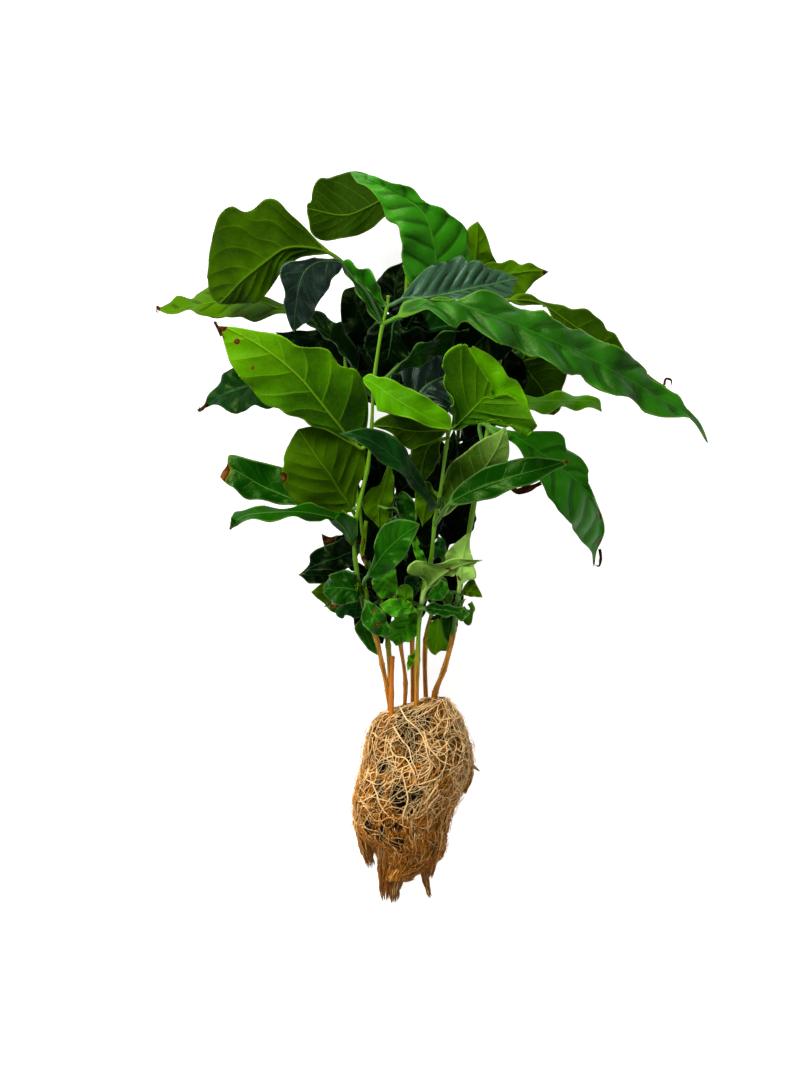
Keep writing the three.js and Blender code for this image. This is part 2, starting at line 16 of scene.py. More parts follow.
import bpy
import numpy as np
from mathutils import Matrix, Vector

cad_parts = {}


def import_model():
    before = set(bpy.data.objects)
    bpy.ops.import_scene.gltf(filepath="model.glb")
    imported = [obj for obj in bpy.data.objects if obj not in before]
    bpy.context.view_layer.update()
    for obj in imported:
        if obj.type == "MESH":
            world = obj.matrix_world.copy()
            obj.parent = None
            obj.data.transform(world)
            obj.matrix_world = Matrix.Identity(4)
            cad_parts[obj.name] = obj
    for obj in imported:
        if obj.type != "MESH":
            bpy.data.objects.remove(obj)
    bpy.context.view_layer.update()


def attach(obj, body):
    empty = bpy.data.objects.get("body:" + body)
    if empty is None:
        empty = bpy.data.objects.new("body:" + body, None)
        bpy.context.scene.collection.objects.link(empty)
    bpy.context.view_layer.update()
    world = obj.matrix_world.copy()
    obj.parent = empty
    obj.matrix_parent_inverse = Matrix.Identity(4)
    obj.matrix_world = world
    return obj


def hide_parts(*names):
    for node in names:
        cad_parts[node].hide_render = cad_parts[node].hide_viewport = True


LOG = logging.getLogger("coffee_clump")

# Where the middle of the clump's box is in the tables, and the frame's metres to a millimetre
BOX_MIDDLE = np.array([0.35, 0.02, 0.0])
METRE = 0.001
BODY = "root"

# The clump's own box in the frame, which every piece keeps inside
BOX = np.array([(-0.10955, -0.14893, 0.0), (0.10955, 0.14893, 0.116)])

# Radius of a leaf's stalk and half the thickness of its blade
PETIOLE_RADIUS = 0.8
BLADE_SKIN = 0.17

Vector2 = tuple[float, float]
Vector3 = tuple[float, float, float]
Array = np.ndarray
Socket = bpy.types.NodeSocket


class Tone(Enum):
    """Which finish a leaf has. The first word is the record's material slot."""

    FRESH = "leaf_fresh"
    SATIN = "leaf_fresh satin"
    LIME = "leaf_lime"
    MID = "leaf_mid"
    DEEP = "leaf_deep"
    SHEEN = "leaf_deep sheen"
    # Near-black leaves that paint the deep shade inside the clump
    SHADE = "leaf_deep shade"
    OLIVE = "leaf_olive"
    PALE = "leaf_pale"

    @property
    def slot(self) -> str:
        """Name of the record's material slot."""
        return self.value.split()[0]


# Small numeric tools


def smoothstep(value: Array, low: float, high: float) -> Array:
    """Rises smoothly from 0 at low to 1 at high, as 3 t squared minus 2 t cubed."""
    share = np.clip((value - low) / (high - low), 0.0, 1.0)
    return share * share * (3.0 - 2.0 * share)


def lerp(start: Array | float, end: Array | float, share: Array | float) -> Array | float:
    """Straight-line mix of two values: the start plus the share of the way to the end."""
    return start + (end - start) * share


def unit(vectors: Array) -> Array:
    """Vectors scaled to length 1 along their last axis."""
    return vectors / np.maximum(np.linalg.norm(vectors, axis=-1, keepdims=True), 1e-9)


def ripple_noise(points: Array, wavelength: float, seed: int, waves: int = 14) -> Array:
    """Smooth random field: the mean of sine waves in random directions.

    Args:
        points: Places in millimetres, with the coordinates on the last axis.
        wavelength: Typical distance between crests in millimetres.
        seed: Fixes the directions and phases.
        waves: How many sine waves are added.

    Returns:
        Values of about minus 1 to 1, one to a place.
    """
    rng = np.random.default_rng(seed)
    directions = unit(rng.normal(size=(waves, 3)))
    pitches = 2 * np.pi / (wavelength * rng.uniform(0.6, 1.7, waves))
    phases = rng.uniform(0, 2 * np.pi, waves)
    total = np.zeros(points.shape[:-1])
    for direction, pitch, phase in zip(directions, pitches, phases):
        total += np.sin(points @ direction * pitch + phase)
    return total * 1.6 / waves


class Curve:
    """Centripetal Catmull-Rom curve through points, with its ends carried on straight."""

    def __init__(self, points: Sequence[Sequence[float]]) -> None:
        """Keeps the points with one more at each end, mirrored about the end point."""
        inner = np.asarray(points, float)
        self.spans = len(inner) - 1
        self.knots = np.vstack([2 * inner[0] - inner[1], inner, 2 * inner[-1] - inner[-2]])

    def at(self, places: Array) -> Array:
        """Points at places from 0 to 1, where each span has an equal share.

        A span is a cubic whose end slopes come from the points around it, weighed by the square
        root of their distances.

        Args:
            places: Numbers from 0 to 1.

        Returns:
            The points, one to a row.
        """
        scaled = np.clip(places, 0.0, 1.0) * self.spans
        index = np.minimum(scaled.astype(int), self.spans - 1)
        t = (scaled - index)[:, None]
        p0, p1, p2, p3 = (self.knots[index + k] for k in range(4))
        d0, d1, d2 = (
            np.sqrt(np.linalg.norm(b - a, axis=1, keepdims=True))
            for a, b in ((p0, p1), (p1, p2), (p2, p3))
        )
        slope1 = ((p1 - p0) / d0 - (p2 - p0) / (d0 + d1) + (p2 - p1) / d1) * d1
        slope2 = ((p2 - p1) / d1 - (p3 - p1) / (d1 + d2) + (p3 - p2) / d2) * d1
        square = -3 * p1 + 3 * p2 - 2 * slope1 - slope2
        cube = 2 * p1 - 2 * p2 + slope1 + slope2
        return p1 + slope1 * t + square * t**2 + cube * t**3

    def by_length(self, shares: Array) -> tuple[Array, float]:
        """Points at shares of the curve's length, and that length in millimetres.

        The length is that of a fine chain of chords along the curve.

        Args:
            shares: Numbers from 0 to 1.

        Returns:
            The points, one to a row, and the length.
        """
        places = np.linspace(0.0, 1.0, 201)
        steps = np.linalg.norm(np.diff(self.at(places), axis=0), axis=1)
        lengths = np.concatenate([[0.0], np.cumsum(steps)])
        return self.at(np.interp(shares * lengths[-1], lengths, places)), float(lengths[-1])


@dataclass
class MeshData:
    """Corner places in millimetres, faces and values on the corners of one mesh."""

    points: Array
    quads: Array
    triangles: Array
    values: dict[str, Array]


def joined(parts: Iterable[MeshData]) -> MeshData:
    """One mesh from several, with the corner numbers moved up.

    Args:
        parts: Meshes that hold the same values.

    Returns:
        The mesh of them all.
    """
    parts = list(parts)
    starts = np.cumsum([0] + [len(part.points) for part in parts[:-1]])
    return MeshData(
        np.vstack([part.points for part in parts]),
        np.vstack([part.quads + start for part, start in zip(parts, starts)]),
        np.vstack([part.triangles + start for part, start in zip(parts, starts)]),
        {key: np.vstack([part.values[key] for part in parts]) for key in parts[0].values},
    )


def rings_mesh(rings: Array, start: Array, end: Array, values: dict[str, Array]) -> MeshData:
    """Closed skins through rings of points, with a pole at each end.

    Args:
        rings: Places of shape (tubes, rings, sides, 3).
        start: Pole before the first ring, of shape (tubes, 3).
        end: Pole after the last ring, of shape (tubes, 3).
        values: Corner values of shape (tubes, rings, sides, 3), which the poles take over from
            the ring beside them.

    Returns:
        One mesh with all the skins.
    """
    tubes, count, sides, _ = rings.shape
    points = np.concatenate([rings.reshape(tubes, -1, 3), start[:, None], end[:, None]], axis=1)
    size = count * sides + 2
    side = np.arange(sides)
    following = (side + 1) % sides
    ring = np.arange(count - 1)[:, None] * sides
    quads = np.stack([
        ring + side, ring + following, ring + sides + following, ring + sides + side,
    ], axis=-1).reshape(-1, 4)
    last = (count - 1) * sides
    triangles = np.vstack([
        np.stack([np.full(sides, count * sides), following, side], axis=-1),
        np.stack([np.full(sides, count * sides + 1), last + side, last + following], axis=-1),
    ])
    offsets = (np.arange(tubes) * size)[:, None, None]
    kept = {
        key: np.concatenate([
            value.reshape(tubes, -1, 3), value[:, 0, :1], value[:, -1, :1],
        ], axis=1).reshape(-1, 3)
        for key, value in values.items()
    }
    return MeshData(
        points.reshape(-1, 3),
        (quads[None] + offsets).reshape(-1, 4),
        (triangles[None] + offsets).reshape(-1, 3),
        kept,
    )


def outward(mesh: MeshData) -> MeshData:
    """The same mesh with its faces turned round if they enclose a negative volume.

    Args:
        mesh: A closed mesh.

    Returns:
        That mesh, with its faces looking outward.
    """
    faces = np.vstack([mesh.quads[:, :3], mesh.quads[:, [0, 2, 3]], mesh.triangles])
    a, b, c = (mesh.points[faces[:, k]] for k in range(3))
    if np.einsum("ij,ij->i", a, np.cross(b, c)).sum() < 0:
        mesh.quads = mesh.quads[:, ::-1]
        mesh.triangles = mesh.triangles[:, ::-1]
    return mesh


def place_mesh(name: str, data: MeshData, material: bpy.types.Material) -> bpy.types.Object:
    """Puts a mesh into the scene in the frame's metres, kept on or above the surface.

    Args:
        name: The object's name.
        data: The mesh in the tables' millimetres.
        material: Its finish.

    Returns:
        The object, riding on the clump's one body.
    """
    points = np.clip((data.points - BOX_MIDDLE) * METRE, *BOX)
    mesh = bpy.data.meshes.new(name)
    corners = np.concatenate([data.quads.ravel(), data.triangles.ravel()])
    sizes = np.concatenate([np.full(len(data.quads), 4), np.full(len(data.triangles), 3)])
    starts = np.concatenate([[0], np.cumsum(sizes)[:-1]])
    mesh.vertices.add(len(points))
    mesh.vertices.foreach_set("co", points.astype(np.float32).ravel())
    mesh.loops.add(len(corners))
    mesh.loops.foreach_set("vertex_index", corners.astype(np.int32))
    mesh.polygons.add(len(sizes))
    mesh.polygons.foreach_set("loop_start", starts.astype(np.int32))
    for key, value in data.values.items():
        layer = mesh.attributes.new(key, "FLOAT_VECTOR", "POINT")
        layer.data.foreach_set("vector", value.astype(np.float32).ravel())
    mesh.update(calc_edges=True)
    mesh.validate()
    mesh.polygons.foreach_set("use_smooth", np.ones(len(mesh.polygons), bool))
    mesh.materials.append(material)
    made = bpy.data.objects.new(name, mesh)
    bpy.context.scene.collection.objects.link(made)
    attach(made, BODY)
    LOG.info("%s: %d faces", name, len(mesh.polygons))
    return made


# Finishes


def colour(code: str) -> tuple[float, float, float, float]:
    """Linear RGBA of an sRGB hex colour.

    Args:
        code: Six hex digits after a hash sign.

    Returns:
        Red, green, blue and 1. A channel up to 0.04045 is divided by 12.92. Any other gets 0.055
        more, is divided by 1.055 and is raised to the power 2.4.
    """
    values = [int(code[k:k + 2], 16) / 255 for k in (1, 3, 5)]
    red, green, blue = (
        value / 12.92 if value <= 0.04045 else ((value + 0.055) / 1.055) ** 2.4 for value in values
    )
    return (red, green, blue, 1.0)


def per(millimetres: float) -> float:
    """Scale of a pattern in metres whose features have this real size."""
    return 1.0 / (millimetres * METRE)


def add_node(
    tree: bpy.types.NodeTree, kind: str, inputs: dict[Any, Any] | None = None, **properties: Any,
) -> bpy.types.Node:
    """Adds one node.

    Args:
        tree: Where it goes.
        kind: Blender's name for the node.
        inputs: Its inputs by name or number, each with a value or with the socket that feeds it.
        properties: Its own settings by name.

    Returns:
        The node.
    """
    made = tree.nodes.new(kind)
    for key, value in properties.items():
        setattr(made, key, value)
    for key, value in (inputs or {}).items():
        if isinstance(value, Socket):
            tree.links.new(value, made.inputs[key])
        else:
            made.inputs[key].default_value = value
    return made


class Recipe:
    """One material while its nodes are put together."""

    def __init__(self, name: str) -> None:
        """Starts a material under a name, with an empty tree and the piece's places in metres."""
        self.material = bpy.data.materials.new(name)
        self.material.use_nodes = True
        self.tree = self.material.node_tree
        self.tree.nodes.clear()
        self.place = add_node(self.tree, "ShaderNodeTexCoord").outputs["Object"]

    def math(self, kind: str, *terms: Socket | float) -> Socket:
        """One sum on sockets or numbers."""
        return add_node(self.tree, "ShaderNodeMath", dict(enumerate(terms)), operation=kind).outputs[0]

    def times(self, first: Socket, second: Socket | float) -> Socket:
        """Product of two terms."""
        return self.math("MULTIPLY", first, second)

    def around(self, value: Socket, amount: float) -> Socket:
        """How far a pattern is from its middle of one half, times an amount."""
        return self.times(self.math("SUBTRACT", value, 0.5), amount)

    def ramp(
        self, value: Socket, low: float, high: float, start: float = 0.0, end: float = 1.0,
        shape: str = "SMOOTHSTEP",
    ) -> Socket:
        """Start at low to end at high, smoothly unless another shape is given."""
        return add_node(self.tree, "ShaderNodeMapRange", {
            "Value": value, "From Min": low, "From Max": high, "To Min": start, "To Max": end,
        }, interpolation_type=shape).outputs[0]

    def mixed(self, share: Socket, first: Socket | str, second: Socket | str) -> Socket:
        """Two colours, each a socket or a hex code, mixed by a share."""
        colours = {
            number: colour(value) if isinstance(value, str) else value
            for number, value in ((6, first), (7, second))
        }
        return add_node(self.tree, "ShaderNodeMix", {0: share, **colours}, data_type="RGBA").outputs[2]

    def tones(self, share: Socket, reach: float, codes: Sequence[str]) -> Socket:
        """Three colours in a row: the middle one at one half, the others this far from it."""
        made = add_node(self.tree, "ShaderNodeValToRGB", {"Fac": share})
        first, last = made.color_ramp.elements
        first.position, last.position = 0.5 - reach, 0.5 + reach
        first.color, last.color = colour(codes[0]), colour(codes[2])
        made.color_ramp.elements.new(0.5).color = colour(codes[1])
        return made.outputs[0]

    def noise(
        self, scale: float, detail: float, roughness: float = 0.5, place: Socket | None = None,
    ) -> Socket:
        """Cloudy pattern over the piece's places, or over others."""
        return add_node(self.tree, "ShaderNodeTexNoise", {
            "Vector": self.place if place is None else place,
            "Scale": scale, "Detail": detail, "Roughness": roughness,
        }).outputs[0]

    def stretched(self, place: Socket, scales: Vector3) -> Socket:
        """Places with each of their axes scaled on its own."""
        return add_node(
            self.tree, "ShaderNodeVectorMath", {0: place, 1: scales}, operation="MULTIPLY",
        ).outputs[0]

    def corner_value(self, key: str) -> Socket:
        """The vector that a piece's corners hold under a name."""
        return add_node(self.tree, "ShaderNodeAttribute", attribute_name=key).outputs["Vector"]

    def split(self, vector: Socket) -> Any:
        """The three numbers of a vector."""
        return add_node(self.tree, "ShaderNodeSeparateXYZ", {0: vector}).outputs

    def bumps(self, height: Socket, strength: float, millimetres: float) -> Socket:
        """Directions of a surface with bumps of a real height."""
        return add_node(self.tree, "ShaderNodeBump", {
            "Height": height, "Strength": strength, "Distance": millimetres * METRE,
        }).outputs[0]

    def surfaced(self, inputs: dict[str, Any]) -> bpy.types.Material:
        """Puts the surface on, from its inputs by name, and hands over the material."""
        shader = add_node(self.tree, "ShaderNodeBsdfPrincipled", inputs)
        add_node(self.tree, "ShaderNodeOutputMaterial", {"Surface": shader.outputs[0]})
        return self.material


@dataclass(frozen=True)
class LeafFinish:
    """Living coffee leaf: a waxy blade, glossy above and duller below, with paler raised veins.

    The wax gives broad soft highlights, the veins give a net of fine lines, and old tips and
    spots have dried to brown. gloss and under_gloss are the roughness of either side, wax is how
    much the surface mirrors, sheen is the colour of that, and valley_shade is painted shade: how
    much darker the blade is in the creases beside its side veins.
    """

    name: str
    upper: str
    upper_light: str
    under: str
    under_light: str
    vein: str
    under_vein: str
    gloss: float
    under_gloss: float
    wax: float
    sheen: str = "#a8e070"
    valley_shade: float = 0.7

    def build(self) -> bpy.types.Material:
        """Makes the material from the leaf's own values: blade, state and tint.

        blade holds the vein count along the margin, millimetres across from the midrib and
        millimetres in from the margin. state holds the share along the blade, how dry the place
        is, and 1 above or 0 below. tint holds how light the leaf is and how pale its midrib is.

        Returns:
            The material.
        """
        make = Recipe(self.name)
        math, times, ramp, mixed = make.math, make.times, make.ramp, make.mixed
        blade, state, tint = (make.split(make.corner_value(key)) for key in ("blade", "state", "tint"))
        cloud = make.noise(per(14.0), 3.0, 0.55)
        fine = make.noise(per(1.6), 2.0, 0.55)
        cells = add_node(make.tree, "ShaderNodeTexVoronoi", {
            "Vector": make.place, "Scale": per(2.6),
        }, feature="DISTANCE_TO_EDGE").outputs["Distance"]
        net = ramp(cells, 0.0, 0.09, 1.0, 0.0)
        # A side vein wherever the vein count passes a whole number, shifted a little by cloud
        count = math("ADD", blade[0], make.around(cloud, 0.25))
        nearness = times(math("ABSOLUTE", math("SUBTRACT", math("FRACT", count), 0.5)), 2.0)
        inside = ramp(blade[2], 0.6, 3.5)
        side_vein = times(ramp(nearness, 0.87, 1.0), inside)
        # Painted shade: a band beside each side vein, where the blade creases
        beside = times(ramp(nearness, 0.62, 0.98), inside)
        midrib = ramp(math("ABSOLUTE", blade[1]), 0.22, 0.75, 1.0, 0.0)
        upside = state[2]
        # Blade colours: painted shade in the creases beside the side veins above, and a pale net below
        light = ramp(math("ADD", tint[0], make.around(cloud, 0.5)), 0.2, 0.8)
        above = mixed(light, self.upper, self.upper_light)
        above = mixed(times(beside, self.valley_shade), above, self.upper)
        above = mixed(times(side_vein, 0.1), above, self.vein)
        above = mixed(times(midrib, times(tint[1], 0.8)), above, self.vein)
        below = mixed(light, self.under, self.under_light)
        below = mixed(times(net, 0.05), below, self.under_vein)
        below = mixed(times(side_vein, 0.18), below, self.under_vein)
        below = mixed(times(midrib, 0.42), below, self.under_vein)
        living = mixed(upside, below, above)
        # Painted light: a pale rim along the margin, where light shines through the thin edge
        living = mixed(ramp(blade[2], 0.1, 0.9, 0.55, 0.0), living, self.under_vein)
        living = mixed(make.around(fine, 0.35), living, "#0a1f04")
        # Dry places: a yellow halo, then brown that is darkest at its rim
        dryness = times(state[1], math("ADD", fine, 0.5))
        living = mixed(times(ramp(dryness, 0.02, 0.3), 0.5), living, "#6f6410")
        dry = ramp(dryness, 0.26, 0.38)
        skin = mixed(dry, living, mixed(ramp(dryness, 0.4, 0.9), "#2b1206", "#70421a"))
        # Surface: wax above, matt below, dull where it is dry, with raised veins and a fine grain
        rough = math("MULTIPLY_ADD", upside, self.gloss - self.under_gloss, self.under_gloss)
        rough = math("ADD", rough, make.around(fine, 0.16))
        rough = math("MAXIMUM", rough, times(dry, 0.75))
        height = times(math("MAXIMUM", side_vein, midrib), 0.5)
        height = math("ADD", height, times(net, 0.18))
        height = math("ADD", height, times(fine, 0.22))
        return make.surfaced({
            "Base Color": skin, "Roughness": rough, "Normal": make.bumps(height, 0.55, 0.35),
            "IOR": 1.42, "Specular IOR Level": self.wax, "Specular Tint": colour(self.sheen),
        })


LEAF_FINISHES = {
    Tone.FRESH: LeafFinish(
        "waxy coffee leaf, full green", "#0c3c00", "#2f7408", "#1d4200", "#346204", "#3d7a1c",
        "#5f8e24", 0.42, 0.5, 0.16,
    ),
    # The bloom spreads the highlights, so the long leaves look satiny
    Tone.SATIN: LeafFinish(
        "waxy coffee leaf, full green with a satin bloom", "#042600", "#267208", "#1d4200",
        "#346204", "#3c7a1c", "#5f8e24", 0.46, 0.5, 0.36, "#b8e08c",
    ),
    # Lime green: partly the young leaf's own colour, partly painted light shining through the blade
    Tone.LIME: LeafFinish(
        "waxy coffee leaf, young lime green", "#1c4a00", "#4a8a00", "#1c4200", "#4c8400", "#5f9410",
        "#78a81c", 0.45, 0.5, 0.1, valley_shade=0.2,
    ),
    Tone.MID: LeafFinish(
        "waxy coffee leaf, middle green", "#053000", "#267408", "#1a3e02", "#325e0e", "#447e26",
        "#5a863a", 0.34, 0.5, 0.2,
    ),
    Tone.DEEP: LeafFinish(
        "waxy coffee leaf, old dark green", "#010b02", "#0a360c", "#081a03", "#183408", "#24582a",
        "#345426", 0.34, 0.5, 0.14,
    ),
    # The wax gives the old crown leaves bluish highlights where they face the light, and their pale
    # grey-green is partly painted sheen
    Tone.SHEEN: LeafFinish(
        "waxy coffee leaf, old dark green with a grey bloom", "#041206", "#2a4a30", "#081a03",
        "#183408", "#4a7a34", "#345426", 0.42, 0.5, 0.7, "#a8d0c4",
    ),
    # Painted shade: near-black leaves stand for the deep shade between the stems low in the clump
    Tone.SHADE: LeafFinish(
        "waxy coffee leaf, old dark green low in the clump", "#000200", "#031004", "#020700",
        "#081602", "#0c2810", "#142810", 0.34, 0.5, 0.05,
    ),
    # Undersides are matt, and the light makes no highlight on them
    Tone.OLIVE: LeafFinish(
        "underside of a coffee leaf, olive green", "#162c00", "#3a6000", "#162c00", "#3a6000",
        "#527a10", "#527810", 0.45, 0.58, 0.06,
    ),
    Tone.PALE: LeafFinish(
        "underside of a coffee leaf, pale green", "#2a4a04", "#8cba50", "#2a4a04", "#8cba50",
        "#a0c070", "#9cbc64", 0.45, 0.58, 0.06,
    ),
}


@dataclass(frozen=True)
class StemFinish:
    """Young coffee stem: smooth green bark that turns to golden cork near the roots.

    Long streaks give it its fibres, and its foot is stained rust brown.
    """

    name: str = "green bark turning to golden cork"
    cork: tuple[str, str, str] = ("#6a3e0c", "#a66c14", "#cc9434")
    rust: str = "#a85804"
    green: str = "#3a6c02"
    green_light: str = "#6c9c14"
    blend: float = 13.0

    def build(self) -> bpy.types.Material:
        """Makes the material from the stem's value: angle, millimetres along, height over its turn.

        Returns:
            The material.
        """
        make = Recipe(self.name)
        value = make.corner_value("stem")
        streaks = make.noise(1.4, 4.0, 0.6, make.stretched(value, (1.1, 0.10, 0.0)))
        grain = make.noise(per(0.8), 3.0)
        cork = make.tones(streaks, 0.16, self.cork)
        green = make.mixed(streaks, self.green, self.green_light)
        level = make.math("ADD", make.split(value)[2], make.math("MULTIPLY_ADD", streaks, 14.0, -7.0))
        greenness = make.ramp(level, -self.blend, self.blend)
        skin = make.mixed(greenness, cork, green)
        skin = make.mixed(make.ramp(level, -25.0, -36.0, 0.0, 0.8), skin, self.rust)
        return make.surfaced({
            "Base Color": skin, "Roughness": make.ramp(greenness, 0.0, 1.0, 0.62, 0.42, "LINEAR"),
            "Normal": make.bumps(make.math("ADD", streaks, grain), 0.35, 0.2),
            "IOR": 1.45, "Specular IOR Level": 0.25,
        })


@dataclass(frozen=True)
class RootFinish:
    """Washed bare roots: cream when young, golden, then rust brown and matted with age.

    Fine fibres along the plug keep them dull, and what lies deep is painted nearly black as shade.
    """

    name: str
    tones: tuple[str, str, str]
    dark: str
    roughness: float

    def build(self) -> bpy.types.Material:
        """Makes the material from the root's value: random share, age, and how deep it lies.

        Returns:
            The material.
        """
        make = Recipe(self.name)
        parts = make.split(make.corner_value("root"))
        cloud = make.noise(per(7.0), 3.0)
        fibre = make.noise(1.0, 2.0, place=make.stretched(make.place, (per(0.5), per(4.0), per(0.5))))
        age = make.math("ADD", make.math("MULTIPLY_ADD", cloud, 0.5, -0.25), parts[1])
        tones = make.tones(age, 0.38, self.tones)
        # Painted shade: the colour goes to near black by how deep the root lies
        return make.surfaced({
            "Base Color": make.mixed(make.times(parts[2], 1.4), tones, self.dark),
            "Roughness": self.roughness, "Normal": make.bumps(fibre, 0.6, 0.3),
            "IOR": 1.45, "Specular IOR Level": 0.2,
        })


# Stems


@dataclass(frozen=True)
class Stem:
    """One stem: its points are the nodes that leaves grow from, counted from the roots.

    base and top are its radii, and turns is the height in Y where its bark turns from green to
    cork. slimmer is how much slimmer it is than its solid, swelling is how much thicker it is at
    a node, and ring is how high the ring there stands.
    """

    name: str
    base: float
    top: float
    points: tuple[Vector3, ...]
    turns: float = -32.0
    slimmer: float = 0.7
    swelling: float = 0.26
    ring: float = 0.22
    sides: int = 18
    rings_a_span: int = 14

    def node(self, number: float) -> Array:
        """Place of a node on the stem's centreline."""
        share = np.array([number / (len(self.points) - 1)])
        return Curve(self.points).at(share)[0]

    def mesh(self) -> MeshData:
        """Round stem that tapers up and swells at each node, with a raised ring at the node.

        The radius falls evenly from base to top. A squared cosine adds the swelling once a node,
        and a narrow bell adds the ring that fallen leaf pairs leave.

        Returns:
            Its skin, which holds the angle, millimetres along and the height over its turn.
        """
        gaps = len(self.points) - 1
        count = gaps * self.rings_a_span
        along = np.linspace(0.0, 1.0, count)
        curve = Curve(self.points)
        centre = curve.at(along)
        steps = np.linalg.norm(np.diff(centre, axis=0), axis=1)
        length = np.concatenate([[0.0], np.cumsum(steps)])
        forward = unit(np.gradient(centre, axis=0))
        sideways = unit(np.cross(np.array([0.0, 0.0, 1.0]), forward))
        above = np.cross(forward, sideways)
        phase = along * gaps
        swelling = self.swelling * np.cos(np.pi * phase) ** 2
        ring = self.ring * np.exp(-(((phase - np.round(phase)) / 0.03) ** 2))
        wander = 0.05 * ripple_noise(centre, 5.0, 3)
        radius = self.slimmer * (lerp(self.base, self.top, along) + swelling) + ring + wander
        radius *= smoothstep(along, -0.02, 0.0)
        angle = np.linspace(0, 2 * np.pi, self.sides, endpoint=False)
        across, upwards = np.cos(angle)[None, :, None], np.sin(angle)[None, :, None]
        round_about = across * sideways[:, None] + upwards * above[:, None]
        rings = centre[:, None] + round_about * radius[:, None, None]
        rings += round_about * (0.04 * ripple_noise(rings, 1.8, 5))[..., None]
        turns = np.minimum(angle, 2 * np.pi - angle)
        value = np.stack([
            np.broadcast_to(part, (count, self.sides))
            for part in (turns, length[:, None], centre[:, 1:2] - self.turns)
        ], axis=-1)
        tip = centre[-1:] + forward[-1:] * radius[-1] * 0.4
        return outward(rings_mesh(rings[None], centre[:1], tip, {"stem": value[None]}))


STEMS = {stem.name: stem for stem in (
    Stem("left", 1.35, 0.8, (
        (-15, -76, 30), (-17, -60.5, 36), (-19.2, -50, 40), (-21.2, -40.5, 44), (-26.3, -27, 50),
        (-29.8, -8, 57), (-30.2, 1.2, 61), (-28.4, 13, 66), (-25, 28, 71), (-23.4, 42, 76),
        (-22.2, 63, 82), (-18.8, 85, 88), (-17, 92, 90), (-16.5, 96, 91),
    )),
    Stem("right", 1.35, 0.85, (
        (-5.6, -78, 33), (-5, -48, 44), (-4, -28.8, 51), (-2.6, -20, 55), (0.3, -8, 60), (2, 8, 65),
        (3.8, 17, 69), (6.3, 36.7, 76), (7.6, 43.6, 79),
    ), turns=-48.0),
    Stem("centre", 1.3, 0.9, (
        (-6.8, -74, 20), (-7.2, -39.6, 32), (-8.8, -16, 36), (-12, 16, 40), (-14.4, 56, 44),
        (-12, 80, 46), (-8.8, 96, 47),
    )),
    Stem("inner", 1.1, 0.8, (
        (-11, -76, 27), (-9.8, -58, 31), (-11.8, -42, 36), (-14, -24, 40), (-16, -4, 46),
        (-15.2, 16, 50), (-12.8, 34, 54), (-11.2, 48, 57),
    )),
    Stem("pale", 1.3, 0.9, (
        (-16, -75, 22), (-16.8, -42.4, 31), (-20, -24, 33), (-25.2, -8, 34), (-28.8, 16, 34),
        (-32, 40, 34), (-33.6, 64, 34), (-34.4, 78, 34),
    ), turns=-47.0),
    Stem("back_right", 1.3, 0.9, (
        (-1.2, -74, 18), (-1.6, -40.4, 24), (2.4, -24, 28), (6.4, -4, 30), (8.8, 16, 31),
        (11.2, 40, 31), (14, 64, 31), (16, 84, 31),
    )),
    Stem("far_right", 1.6, 1.0, (
        (0.4, -76, 26), (2.2, -61.5, 29), (5.6, -52.5, 31.5), (9, -39.5, 34.5), (12, -19, 41),
        (17.2, 12, 47), (21.6, 36, 52), (26, 60, 55), (29.2, 80, 57), (31.2, 94, 58),
    )),
    Stem("stub", 1.4, 1.1, ((-15.4, -80, 38), (-15.4, -62, 40.5), (-15.1, -46.8, 42)), turns=-10.0),
)}


# Leaves


